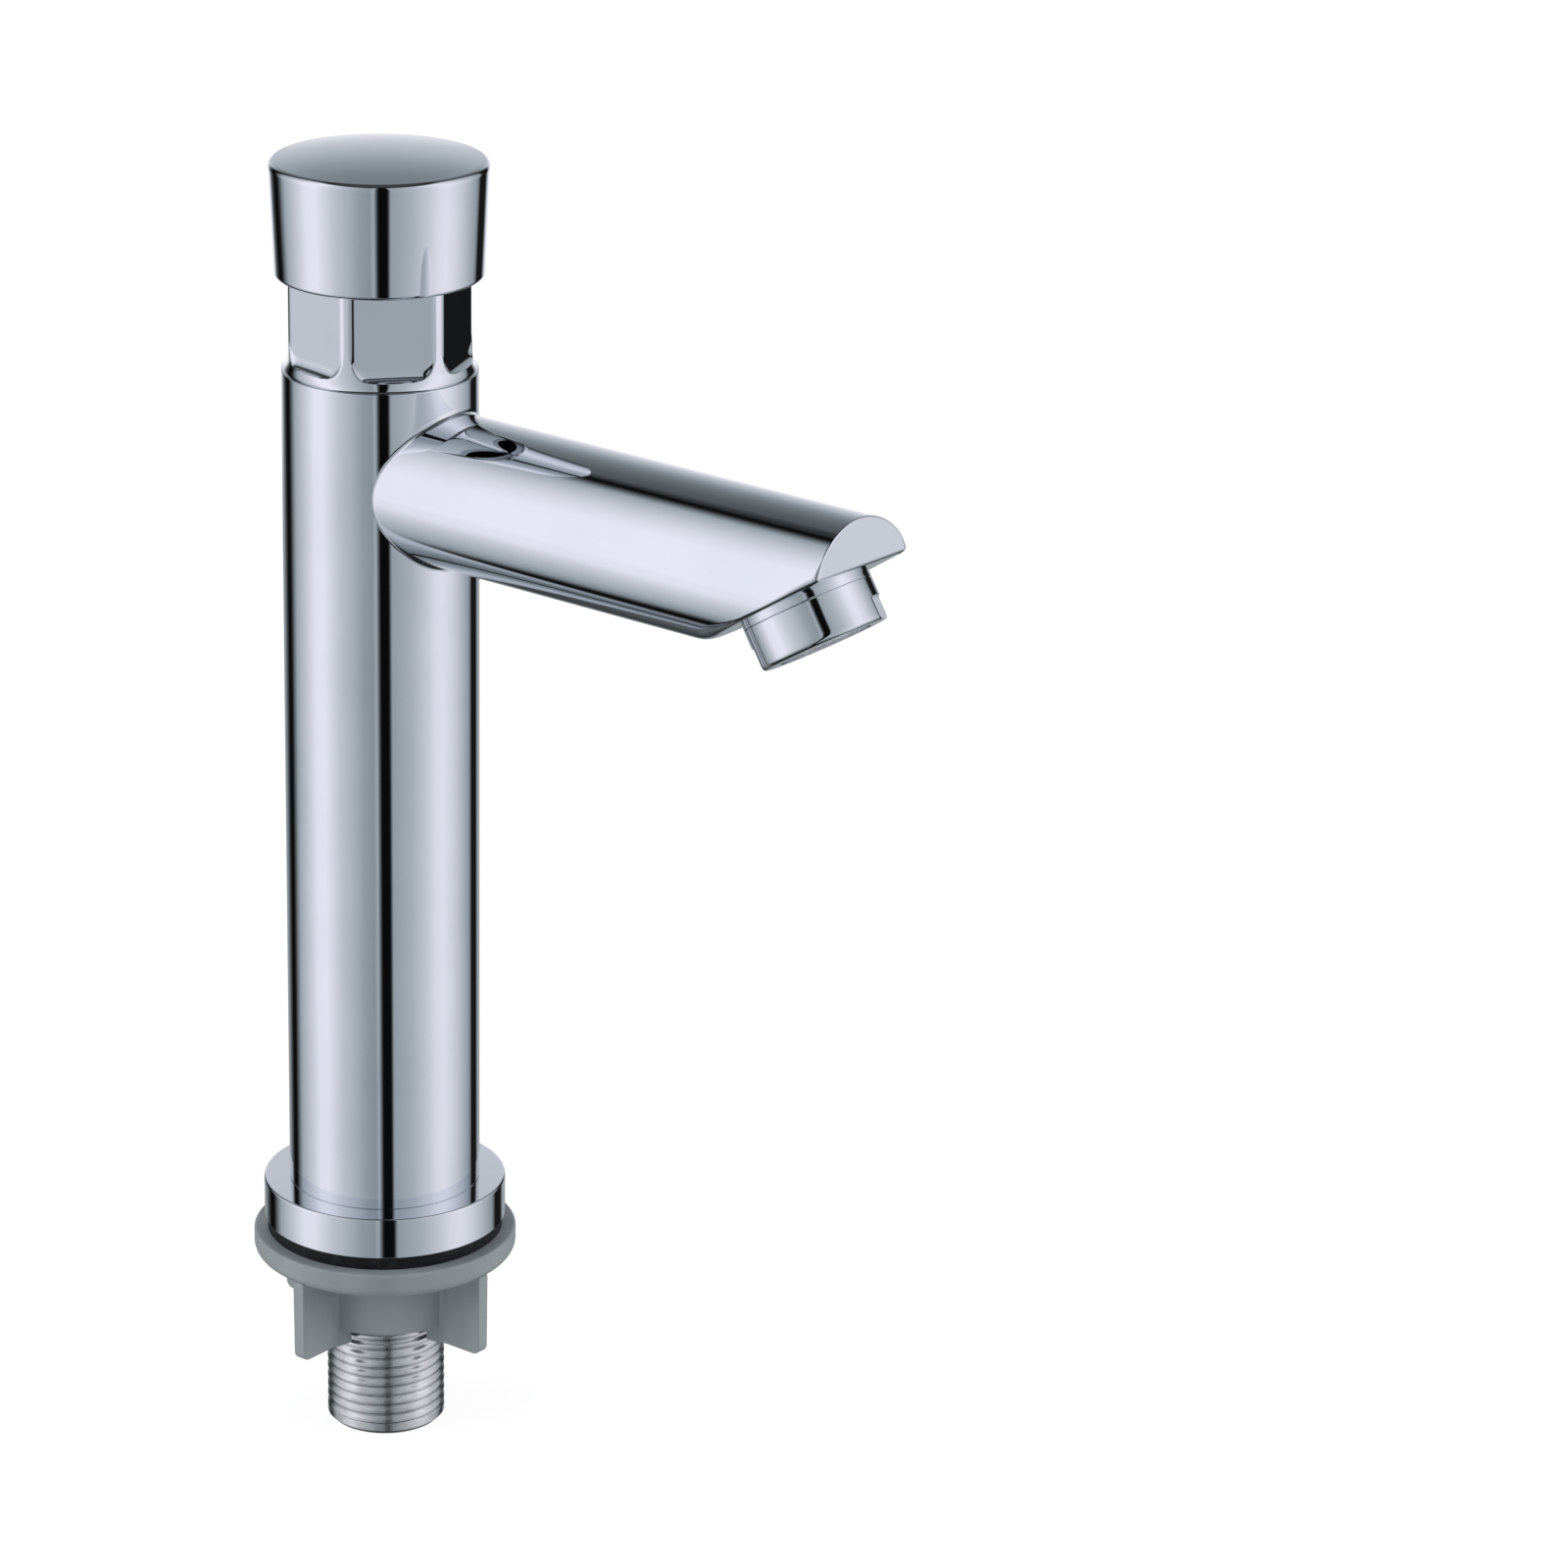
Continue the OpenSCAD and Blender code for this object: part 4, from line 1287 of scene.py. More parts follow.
@dataclass
class OutletCollar(SubAssembly):
    """Screwed collar that holds the outlet's insert, with two spanner flats.

    Attributes:
        place: place of the outlet, from the spout.
        radius: outer radius.
        low: height of its lower face in the outlet's own frame.
        top: height at which it meets the spout's ring.
        edge: rounding of its lower edge.
        top_edge: rounding of its upper edge.
        bore_r: bore above the lip.
        lip_r: inner radius of the lip.
        lip_h: height of the lip.
        thread_r: radius of the part that is screwed in.
        thread_top: height of that part's end.
        across: width across the spanner flats.
        turn: direction of the first flat, in degrees.
        flats_h: height of the flats above the lower face.
        row: spacing of the rows of points up the side.
        close_row: spacing of the rows round the flats' end.
        close_reach: how far the close rows reach under and over the flats' end.
    """

    place: Matrix
    radius: float = 11.3
    low: float = -8.7
    top: float = -1.4
    edge: float = 0.8
    top_edge: float = 0.2
    bore_r: float = 8.8
    lip_r: float = 8.0
    lip_h: float = 1.1
    thread_r: float = 10.0
    thread_top: float = 5.2
    across: float = 21.1
    turn: float = -57.0
    flats_h: float = 4.0
    row: float = 0.5
    close_row: float = 0.05
    close_reach: tuple[float, float] = (0.4, 0.3)

    def build(self) -> None:
        """Turns the collar with close rows at its flats' end, mills it and sets it in place."""
        rim, soft = self.radius - self.edge, self.top_edge
        under, over = self.close_reach
        coarse = np.arange(self.edge, self.flats_h - self.row, self.row)
        close = np.arange(self.flats_h - under, self.flats_h + over, self.close_row)
        section = [(self.lip_r, self.low)]
        section += arc((rim, self.low + self.edge), self.edge, -90, 0)
        section += [(self.radius, self.low + float(z)) for z in (*coarse, *close)]
        section += arc((self.radius - soft, self.top - soft), soft, 0, 90, 3)
        section += [
            (self.thread_r, self.top),
            (self.thread_r, self.thread_top),
            (self.bore_r, self.thread_top),
            (self.bore_r, self.low + self.lip_h),
            (self.lip_r, self.low + self.lip_h),
        ]
        collar = turned("chrome_outlet_collar", section, 288)
        flats = Flats(
            count=2,
            across=self.across,
            turn=self.turn,
            edge_z=self.low + self.flats_h,
            upward=False,
            stock_r=self.radius,
            corner=0.3,
            fillet=0.25,
            soft=0.08,
        )
        flats.mill(collar)
        polished(placed(collar, self.place))
        self.dress(collar, Slot.CHROME, Body.TAP, "aerator_housing")


@dataclass
class Bonnet(SubAssembly):
    """Collar with six flats that is screwed into the pillar.

    Attributes:
        foot_r: radius of its foot.
        radius: radius above the flare.
        low: height of the pillar's top, where its foot stands.
        flare_h: height of the flare.
        top: height of its top face.
        across: width across the flats.
        turn: direction of the first flat, in degrees.
        flats_z: height of the flats' lower end above its foot.
        thread_r: radius of the part that is screwed in.
        thread_low: height of that part's lower end.
        hollow_r: bore of that part.
        hollow_top: height at which this bore ends.
        bush_r: bore for the stem's bush and wiper.
        web: heights of the web between them.
        stem_r: bore for the stem in the web.
        well_r: radius of the well in the top face.
        well_z: height of the well's floor.
        chamfer: chamfers of the top edge and of the screwed part.
        foot_edge: chamfer of the foot's edge.
        rows: spacing of the rows of points at the foot, round the flats' feet and above.
        close_under: how far the close rows reach under the flats' lower end.
        close_top: height above the foot at which the close rows end.
        side_low: height above the foot at which the wide rows start.
        side_under: how far under the top face they end.
    """

    foot_r: float = 16.6
    radius: float = 15.7
    low: float = 158.4
    flare_h: float = 2.25
    top: float = 179.4
    across: float = 28.0
    turn: float = -8.5
    flats_z: float = 1.55
    thread_r: float = 14.0
    thread_low: float = 148.65
    hollow_r: float = 11.55
    hollow_top: float = 154.4
    bush_r: float = 6.05
    web: tuple[float, float] = (164.5, 168.8)
    stem_r: float = 3.3
    well_r: float = 9.5
    well_z: float = 171.4
    chamfer: tuple[float, float] = (0.5, 0.6)
    foot_edge: float = 0.06
    rows: tuple[float, float, float] = (0.2, 0.08, 1.0)
    close_under: float = 0.35
    close_top: float = 5.4
    side_low: float = 5.6
    side_under: float = 0.9

    def _flare(self, z: float) -> float:
        """Finds the radius of the concave flare.

        Args:
            z: height of the point.

        Returns:
            The radius there, which above the flare is the bonnet's own.
        """
        sweep = 2 * math.atan((self.foot_r - self.radius) / self.flare_h)
        bend = self.flare_h / math.sin(sweep)
        up = self.low + self.flare_h - z
        return self.radius + bend - math.sqrt(bend**2 - max(up, 0.0) ** 2)

    def build(self) -> None:
        """Turns the bonnet with close rows round the flats' feet, then mills them."""
        first, fine, wide = self.rows
        start = self.low + self.flats_z - self.close_under
        close = np.arange(start, self.low + self.close_top, fine)
        foot = np.arange(self.low, start - first / 2, first)
        side = np.arange(self.low + self.side_low, self.top - self.side_under, wide)
        top_cut, low_cut = self.chamfer
        web_low, web_top = self.web
        section = [
            (self.hollow_r, self.thread_low),
            (self.thread_r - low_cut, self.thread_low),
            (self.thread_r, self.thread_low + low_cut),
            (self.thread_r, self.low),
            (self.foot_r - self.foot_edge, self.low),
            (self.foot_r, self.low + self.foot_edge),
        ]
        section += [(self._flare(float(z)), float(z)) for z in (*foot[1:], *close)]
        section += [(self.radius, float(z)) for z in side]
        section += [
            (self.radius, self.top - top_cut),
            (self.radius - top_cut, self.top),
            (self.well_r, self.top),
            (self.well_r, self.well_z),
            (self.bush_r, self.well_z),
            (self.bush_r, web_top),
            (self.stem_r, web_top),
            (self.stem_r, web_low),
            (self.bush_r, web_low),
            (self.bush_r, self.hollow_top),
            (self.hollow_r, self.hollow_top),
        ]
        bonnet = turned("chrome_bonnet", section, 480)
        flats = Flats(
            count=6,
            across=self.across,
            turn=self.turn,
            edge_z=self.low + self.flats_z,
            upward=True,
            stock_r=self.radius,
            corner=2.6,
            fillet=1.8,
            soft=0.3,
        )
        flats.mill(bonnet)
        polished(bonnet)
        self.dress(bonnet, Slot.CHROME, Body.TAP, "bonnet")


@dataclass
class PushCap(SubAssembly):
    """The tapered button with its shallow dome.

    Attributes:
        rim_r: radius at the lower rim.
        top_r: radius at the top edge.
        low: height of the rim.
        side_h: height of the side.
        dome: height of the dome.
        edge: rounding of the lower edge.
        top_edge: rounding between the side and the dome.
        bore_r: bore of the skirt.
        roof_t: thickness of the top at its edge.
        boss_r: radius of the boss under the top.
        boss_h: height of the boss.
        screw_r: bore for the stem's screw end.
        screw_in: depth of that bore into the top.
    """

    rim_r: float = 17.9
    top_r: float = 18.7
    low: float = 174.8
    side_h: float = 20.0
    dome: float = 1.6
    edge: float = 0.8
    top_edge: float = 1.2
    bore_r: float = 16.05
    roof_t: float = 3.3
    boss_r: float = 6.0
    boss_h: float = 7.5
    screw_r: float = 3.05
    screw_in: float = 1.0

    def build(self) -> None:
        """Turns the cap with its skirt and boss."""
        lean = math.degrees(math.atan((self.top_r - self.rim_r) / self.side_h))
        edge_z = self.low + self.side_h
        soft = self.top_edge
        flat_r = self.top_r - soft
        dome_r = (flat_r**2 + self.dome**2) / (2 * self.dome)
        half = math.degrees(math.asin(flat_r / dome_r))
        section = [(self.bore_r, self.low)]
        section += arc((self.rim_r - self.edge, self.low + self.edge), self.edge, -90, -lean, 10)
        section += arc((flat_r, edge_z - soft), soft, -lean, 90 - half, 14)
        section += arc((0, edge_z + self.dome - dome_r), dome_r, 90 - half, 90, 16)[1:]
        section[-1] = (0.0, section[-1][1])
        roof = edge_z - self.roof_t
        boss = roof - self.boss_h
        section += [(0.0, roof + self.screw_in), (self.screw_r, roof + self.screw_in)]
        section += [(self.screw_r, boss), (self.boss_r, boss)]
        section += [(self.boss_r, roof), (self.bore_r, roof)]
        cap = polished(turned("chrome_push_cap", section, 256))
        self.dress(cap, Slot.CHROME, Body.BUTTON, "push_cap")


@dataclass
class Shank(SubAssembly):
    """Pipe with a screw thread that goes through the deck.

    Attributes:
        crest_r: radius over the thread.
        pitch: pitch of the thread.
        form: the thread's form: share of the pitch, and depth under the crest.
        core_in: how far the pipe under the thread lies inside the crests.
        low: height of the lower end.
        thread_low: height at which the thread starts.
        thread_top: height at which it ends.
        top: height of the upper end, inside the pillar.
        bore_r: bore.
        chamfer: chamfer at the lower end.
        bore_edge: chamfer of the bore there.
        groove_z: height of the seal ring's groove.
        groove_h: width of that groove.
        groove_r: radius of its floor.
        seat_r: radius of the seat for the strainer's rim.
        seat_h: depth of that seat.
        runout: slope beside the thread's ends.
        upper_runout: height of the slope over its upper end.
        lap: how far the pipe's full radius reaches over the thread's ends.
    """

    crest_r: float = 10.4775
    pitch: float = 1.814
    form: tuple[tuple[float, float], ...] = (
        (0.0, 0.40), (0.05, 0.43), (0.10, 0.40), (0.30, 0.12), (0.36, 0.03), (0.44, 0.0),
        (0.66, 0.0), (0.74, 0.03), (0.80, 0.12), (1.0, 0.40),
    )
    core_in: float = 0.7
    low: float = -37.1
    thread_low: float = -34.7
    thread_top: float = -0.4
    top: float = 29.8
    bore_r: float = 7.25
    chamfer: float = 0.8
    bore_edge: float = 0.2
    groove_z: float = 23.8
    groove_h: float = 1.7
    groove_r: float = 8.8775
    seat_r: float = 8.55
    seat_h: float = 1.5
    runout: float = 0.35
    upper_runout: float = 0.3
    lap: float = 0.04

    def _thread(self) -> bpy.types.Object:
        """Screws one thread form up round the pipe and trims both ends.

        Returns:
            The thread's open skin.
        """
        start = self.thread_low - self.pitch
        section = [(self.crest_r - sunk, start + share * self.pitch) for share, sunk in self.form]
        thread = drawn("thread", section, closed=False)
        turns = math.ceil((self.thread_top - start) / self.pitch) + 1
        applied(
            thread,
            "SCREW",
            axis="Z",
            angle=math.tau,
            screw_offset=self.pitch * MM,
            iterations=turns,
            steps=128,
            render_steps=128,
            use_merge_vertices=True,
            merge_threshold=0.0005 * MM,
        )
        with EditMode(thread) as bench:
            bench.heal()
            for height, up in ((self.thread_low, -1.0), (self.thread_top, 1.0)):
                bench.everything()
                bpy.ops.mesh.bisect(
                    plane_co=(0, 0, height * MM), plane_no=(0, 0, up), clear_outer=True
                )
        return thread

    def build(self) -> None:
        """Turns the pipe, and joins the thread to it."""
        core, shoulder = self.crest_r - self.core_in, self.crest_r - self.runout
        first, last = self.thread_low + self.lap, self.thread_top - self.lap
        groove, seat = self.groove_z + self.groove_h, self.top - self.seat_h
        section = [
            (self.bore_r + self.bore_edge, self.low),
            (self.crest_r - self.chamfer, self.low),
            (self.crest_r, self.low + self.chamfer),
            (self.crest_r, self.thread_low - self.runout),
            (shoulder, first),
            (core, first),
            (core, last),
            (shoulder, last),
            (self.crest_r, self.thread_top + self.upper_runout),
            (self.crest_r, self.groove_z),
            (self.groove_r, self.groove_z),
            (self.groove_r, groove),
            (self.crest_r, groove),
            (self.crest_r, self.top),
            (self.seat_r, self.top),
            (self.seat_r, seat),
            (self.bore_r, seat),
            (self.bore_r, self.low + self.bore_edge),
        ]
        pipe = joined(turned("steel_shank", section, 160), self._thread())
        polished(pipe, 38.0)
        self.dress(pipe, Slot.STEEL, Body.TAP, "threaded_shank")


@dataclass
class WingNut(SubAssembly):
    """Plastic backnut with a flange, a hub and wings for the fingers.

    Attributes:
        bore_r: bore over the thread.
        hub_r: radius of the hub.
        hub_low: height of the hub's lower end.
        flange_r: radius of the flange.
        flange_t: thickness of the flange.
        edge: rounding of the flange's upper edge.
        low_edge: rounding of its lower edge.
        wing_r: reach of the wings.
        wing_t: thickness of a wing.
        wing_low: height of the wings' lower end.
        draft: how far a wing's outer edge leans in towards its lower end.
        draft_from: distance outside the hub from which it leans.
        wing_in: how deep a wing's root goes into the hub.
        wing_up: how deep its upper side goes into the flange.
        root: radius of the fillet between a wing and the hub.
        root_rows: distance of the fillet's rows of points from the hub.
        corner: bevel of a wing's lower corner.
        wing_edge: bevel of its other edges.
        hub_edge: rounding of the hub's lower edge.
        neck: radius of the fillet between the hub and the flange.
        wings: number of wings.
        turn: direction of the first wing, in degrees.
    """

    bore_r: float = 10.5275
    hub_r: float = 14.3
    hub_low: float = -15.8
    flange_r: float = 23.3
    flange_t: float = 4.7
    edge: float = 0.5
    low_edge: float = 2.0
    wing_r: float = 23.2
    wing_t: float = 2.5
    wing_low: float = -19.0
    draft: float = 0.2
    draft_from: float = 2.0
    wing_in: float = 2.9
    wing_up: float = 0.8
    root: float = 0.9
    root_rows: tuple[float, ...] = (0.15, 0.45, 0.9)
    corner: float = 1.4
    wing_edge: float = 0.3
    hub_edge: float = 0.4
    neck: float = 0.5
    wings: int = 4
    turn: float = 0.8

    def _wing(self) -> bpy.types.Object:
        """Models one wing along +X: a plate with a rounded corner and a root fillet.

        Returns:
            The wing.
        """
        inner, top = self.hub_r - self.wing_in, -self.flange_t + self.wing_up
        length, height = self.wing_r - inner, top - self.wing_low
        wing = fresh(
            "wing",
            bpy.ops.mesh.primitive_cube_add,
            size=1.0,
            location=Vector((inner + length / 2, 0, top - height / 2)) * MM,
            scale=Vector((length, self.wing_t, height)) * MM,
        )
        placed(wing, wing.matrix_world.copy())
        with EditMode(wing) as bench:
            outer, low = self.wing_r * MM - 1e-6, self.wing_low * MM + 1e-6
            bench.pick(lambda vert: vert.co.x > outer and vert.co.z < low)
            bpy.ops.mesh.bevel(offset=self.corner * MM, segments=6, affect="EDGES")
            for step in self.root_rows:
                bench.everything()
                bpy.ops.mesh.bisect(
                    plane_co=((self.hub_r + step) * MM, 0, 0), plane_no=(1, 0, 0)
                )
            for vert in bench.mesh().verts:
                if vert.co.x / MM > self.hub_r + self.draft_from:
                    vert.co.x -= self.draft * MM * (top - vert.co.z / MM) / height
                gap = min(self.root - max(0.0, vert.co.x / MM - self.hub_r), self.root)
                if gap > 0:
                    swell = self.root - math.sqrt(max(0.0, self.root**2 - gap**2))
                    vert.co.y += math.copysign(swell * MM, vert.co.y)
            bmesh.update_edit_mesh(wing.data)
        applied(wing, "BEVEL", width=self.wing_edge * MM, segments=3, limit_method="ANGLE")
        return wing

    def build(self) -> None:
        """Turns the nut, copies the wing round it and joins them."""
        rim, lip, soft = self.flange_r - self.edge, self.flange_t, self.low_edge
        low, crisp, fillet = self.hub_low, self.hub_edge, self.neck
        section = [(self.bore_r + crisp, low), (self.hub_r - crisp, low)]
        section += arc((self.hub_r - crisp, low + crisp), crisp, -90, 0, 3)[1:]
        section += arc((self.hub_r + fillet, -lip - fillet), fillet, 180, 90, 4)
        section += arc((self.flange_r - soft, -lip + soft), soft, -90, 0, 8)
        section += arc((rim, -self.edge), self.edge, 0, 90, 5)
        section += [(self.bore_r, 0.0), (self.bore_r, low + crisp)]
        nut = turned("plastic_backnut", section)
        pattern = self._wing()
        wings = []
        for i in range(self.wings):
            copy = bpy.data.objects.new(f"wing_{i}", pattern.data.copy())
            bpy.context.scene.collection.objects.link(copy)
            angle = math.radians(self.turn + 360 * i / self.wings)
            wings.append(placed(copy, Matrix.Rotation(angle, 4, "Z")))
        bpy.data.objects.remove(pattern)
        polished(joined(nut, *wings), 40.0)
        self.dress(nut, Slot.GREY, Body.NUT, "backnut")


@dataclass
class ReturnSpring(SubAssembly):
    """The return spring: one round wire, which shortens as the cap goes down; here it is wound at
    one length.

    Attributes:
        mean_r: radius of the coil at the wire's middle.
        wire_r: radius of the wire.
        turns: working turns, besides one closed turn at each end.
        closed_rise: rise of a closed turn.
        gap: gap between the wire and what it rests on.
        travel: way that the cap goes down; not used.
        sides: points round the wire.
        steps: rings of points in a turn.
    """

    mean_r: float = 6.7
    wire_r: float = 0.7
    turns: int = 5
    closed_rise: float = 1.9
    gap: float = 0.05
    travel: float = 8.0
    sides: int = 12
    steps: int = 16

    def _ring(self, turn: float, height: float) -> list[Vector]:
        """Lays a ring of points round the wire.

        Args:
            turn: turns from the wire's lower end.
            height: height of the wire's middle there.

        Returns:
            The points in metres.
        """
        around = math.tau * turn
        ring = []
        for side in range(self.sides):
            angle = math.tau * side / self.sides
            radius = self.mean_r + self.wire_r * math.cos(angle)
            z = height + self.wire_r * math.sin(angle)
            ring.append(Vector((radius * math.cos(around), radius * math.sin(around), z)) * MM)
        return ring

    def build(self) -> None:
        """Winds the wire between its washer and the piston."""
        low = float(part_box("spring_washer")[1][2]) / MM
        high = float(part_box("timing_piston")[0][2]) / MM
        first = low + self.wire_r + self.gap
        last = high - self.wire_r - self.gap
        total = self.turns + 2
        knots = [0, 1, self.turns + 1, total]
        heights = [first, first + self.closed_rise, last - self.closed_rise, last]
        turns = [step / self.steps for step in range(self.steps * total + 1)]
        rings = [self._ring(turn, float(np.interp(turn, knots, heights))) for turn in turns]
        spring = lofted("steel_return_spring", rings)
        with EditMode(spring) as bench:
            for ring in (rings[0], rings[-1]):
                bench.pick_points(ring)
                bpy.ops.mesh.edge_face_add()
            bench.heal()
        self.dress(polished(spring, 40.0), Slot.STEEL, Body.TAP, "return_spring")
        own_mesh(spring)


class Innards(SubAssembly):
    """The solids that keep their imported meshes: seals, valve, cartridge and insert."""

    def build(self) -> None:
        """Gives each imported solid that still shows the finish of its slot."""
        slots = {part["node"]: Slot(part["material_slot"]) for part in frame["record"]["subparts"]}
        for name, obj in frame["nodes"].items():
            if not obj.hide_render:
                FINISHES.of(slots[name]).on(obj)
                log.info("%s: packed solid with the %s finish", name, slots[name].value)


# Studio


@dataclass(frozen=True)
class Lamp:
    """A round, soft lamp one metre from the tap, which the chrome doesn't reflect.

    Attributes:
        name: name of the lamp.
        bearing: direction from the tap, from the front of the tent, in degrees.
        climb: height over the horizon, in degrees.
        power: power in watts.
        width: diameter in metres.
    """

    name: str
    bearing: float
    climb: float
    power: float
    width: float


@dataclass
class Studio:
    """Camera, floor, lamps, backdrop and the light tent that the chrome reflects.

    Attributes:
        camera_at: place of the camera, in millimetres.
        look: direction in which it looks.
        roll: roll of the camera, in degrees.
        lens: focal length on a sensor 36 mm wide.
        tent_turn: direction from the tap to the front of the tent, in degrees.
        floor_z: height of the floor.
        backdrop_at: distance of the backdrop behind the tap.
        backdrop_z: height of the backdrop's middle.
        backdrop_size: width and height of the backdrop, in metres.
        backdrop_grade: the backdrop's light by height, in metres.
        backdrop_half: half width of its light at the foot, and what the top adds, in metres.
        backdrop_fade: width over which the light fades at its sides, in metres.
        walls: light of the tent by bearing from its front, in degrees.
        wall_climb: share of the walls' light by elevation, at the front and sides.
        back_climb: the same behind the tap.
        gain: light of the walls as a whole.
        ground: light of the ground behind the tap, straight down, and what its rim adds.
        roof: light of the tent's roof.
        roof_from: elevations between which the walls give way to the roof.
        for_matt: share of the tent's light that matt pieces get, and an even light with it.
        lit: the point that the lamps face.
        lights: the lamps.
    """

    camera_at: tuple[float, float, float] = (-733.6, -671.5, 441.5)
    look: tuple[float, float, float] = (0.7370, 0.5850, -0.3386)
    roll: float = 1.035
    lens: float = 139.09
    tent_turn: float = 222.0
    floor_z: float = -37.1
    backdrop_at: float = 600.0
    backdrop_z: float = 650.0
    backdrop_size: float = 1.5
    backdrop_grade: tuple[tuple[float, float], ...] = (
        (-0.10, 1.0), (0.08, 0.95), (0.20, 0.78), (0.28, 0.64), (0.34, 0.56), (0.39, 0.49),
        (0.46, 0.38), (0.54, 0.29), (0.63, 0.225), (0.71, 0.19), (0.80, 0.155), (0.92, 0.13),
        (1.04, 0.11), (1.16, 0.05), (1.40, 0.02),
    )
    backdrop_half: tuple[float, float] = (0.19, 0.23)
    backdrop_fade: float = 0.18
    walls: tuple[tuple[float, float], ...] = (
        (-180, 0.30), (-170, 0.40), (-157, 0.30), (-148, 0.08), (-141, 0.003), (-134, 0.002),
        (-130, 0.03), (-125, 0.18), (-118, 0.45), (-96, 0.75), (-84, 0.96), (-71, 0.975),
        (-50, 0.68), (-30, 0.50), (-21, 0.40), (-9.5, 0.345), (-6, 0.50), (-2.5, 0.09),
        (-1, 0.002), (9.5, 0.002), (12.5, 0.41), (35, 0.53), (55, 0.73), (66, 0.88),
        (77, 0.93), (90, 0.82), (104, 0.64), (125, 0.36), (132, 0.008), (147, 0.009),
        (157, 0.45), (180, 0.32),
    )
    wall_climb: tuple[tuple[float, float], ...] = (
        (-90, 0.02), (-62, 0.04), (-54, 0.30), (-50, 0.62), (-38, 0.70), (-30, 0.78), (-22, 0.94),
        (-16, 0.95), (-11, 1.0), (40, 1.0), (55, 0.94), (62, 0.02), (90, 0.02),
    )
    back_climb: tuple[tuple[float, float], ...] = (
        (-90, 0.05), (-60, 0.06), (-50, 0.12), (-44, 0.17), (-36, 0.10), (-32, 0.50), (-27, 0.94),
        (0, 0.94), (12, 0.57), (22, 0.42), (30, 0.28), (40, 0.20), (50, 0.10), (60, 0.04),
        (90, 0.02),
    )
    gain: float = 1.06
    ground: tuple[float, float] = (0.03, 0.12)
    roof: float = 0.055
    roof_from: tuple[float, float] = (62.0, 70.0)
    for_matt: tuple[float, float] = (0.72, 0.16)
    lit: tuple[float, float, float] = (0.0, -20.0, 30.0)
    lights: tuple[Lamp, ...] = (
        Lamp("left_lamp", -75.0, 22.0, 5.0, 0.7),
        Lamp("right_lamp", 82.0, 22.0, 4.9, 0.7),
        Lamp("top_lamp", -150.0, 65.0, 1.8, 0.8),
    )

    def _front(self) -> tuple[float, float, float]:
        """Direction from the tap to the front of the tent."""
        turn = math.radians(self.tent_turn)
        return (math.cos(turn), math.sin(turn), 0.0)

    def _right(self) -> tuple[float, float, float]:
        """Direction from the tap to the right of the tent, as the camera sees it."""
        turn = math.radians(self.tent_turn)
        return (-math.sin(turn), math.cos(turn), 0.0)

    def camera(self) -> None:
        """Sets up the camera at the photograph's place."""
        data = bpy.data.cameras.new("view")
        data.sensor_width, data.lens = 36.0, self.lens
        data.clip_start, data.clip_end = 0.05, 50.0
        obj = bpy.data.objects.new("view", data)
        bpy.context.scene.collection.objects.link(obj)
        ahead = Vector(self.look).normalized()
        side = ahead.cross(Vector((0, 0, 1))).normalized()
        up = side.cross(ahead)
        tilt = math.radians(self.roll)
        across = side * math.cos(tilt) + up * math.sin(tilt)
        above = up * math.cos(tilt) - side * math.sin(tilt)
        turn = Matrix((across, above, -ahead)).transposed().to_4x4()
        obj.matrix_world = Matrix.Translation(Vector(self.camera_at) * MM) @ turn
        bpy.context.scene.camera = obj

    def floor(self) -> None:
        """Lays a white floor that keeps the tap's soft shadow, with a painted glow that grows away
        from the tap.
        """
        floor = fresh(
            "floor",
            bpy.ops.mesh.primitive_circle_add,
            vertices=96,
            radius=4.0,
            fill_type="NGON",
            location=(0, 0, self.floor_z * MM),
        )
        stuff = bpy.data.materials.new("pale_floor")
        stuff.use_nodes = True
        graph = Graph(stuff.node_tree)
        plain = graph.add("ShaderNodeBsdfDiffuse", None, {"Color": tone(0.85, 0.85, 0.85)})
        shade = graph.add("ShaderNodeBsdfDiffuse", None, {"Color": tone(0.20, 0.20, 0.20)})
        where = graph.add("ShaderNodeTexCoord", out="Object")
        # Painted light: the glow grows from 0.87 near the tap to 0.95 farther out, making up for
        # the lamps' light falling off there, so the far floor reads white while the tap's shadow
        # still shows near it
        far = graph.dot(where, where).step(0.02, 0.4)
        glow = graph.add(
            "ShaderNodeEmission", None, {"Color": tone(1, 1, 1), "Strength": 0.87 + 0.08 * far}
        )
        shown = graph.add("ShaderNodeAddShader", None, {0: shade, 1: glow})
        seen = graph.add("ShaderNodeLightPath", out="Is Camera Ray")
        under = graph.add("ShaderNodeNewGeometry", out="Backfacing")
        clear = graph.add("ShaderNodeBsdfTransparent")
        lit = graph.add("ShaderNodeMixShader", None, {0: seen, 1: plain, 2: shown})
        graph.add(
            "ShaderNodeOutputMaterial",
            None,
            {"Surface": graph.add("ShaderNodeMixShader", None, {0: under, 1: lit, 2: clear})},
        )
        floor.data.materials.append(stuff)
        floor.visible_glossy = False

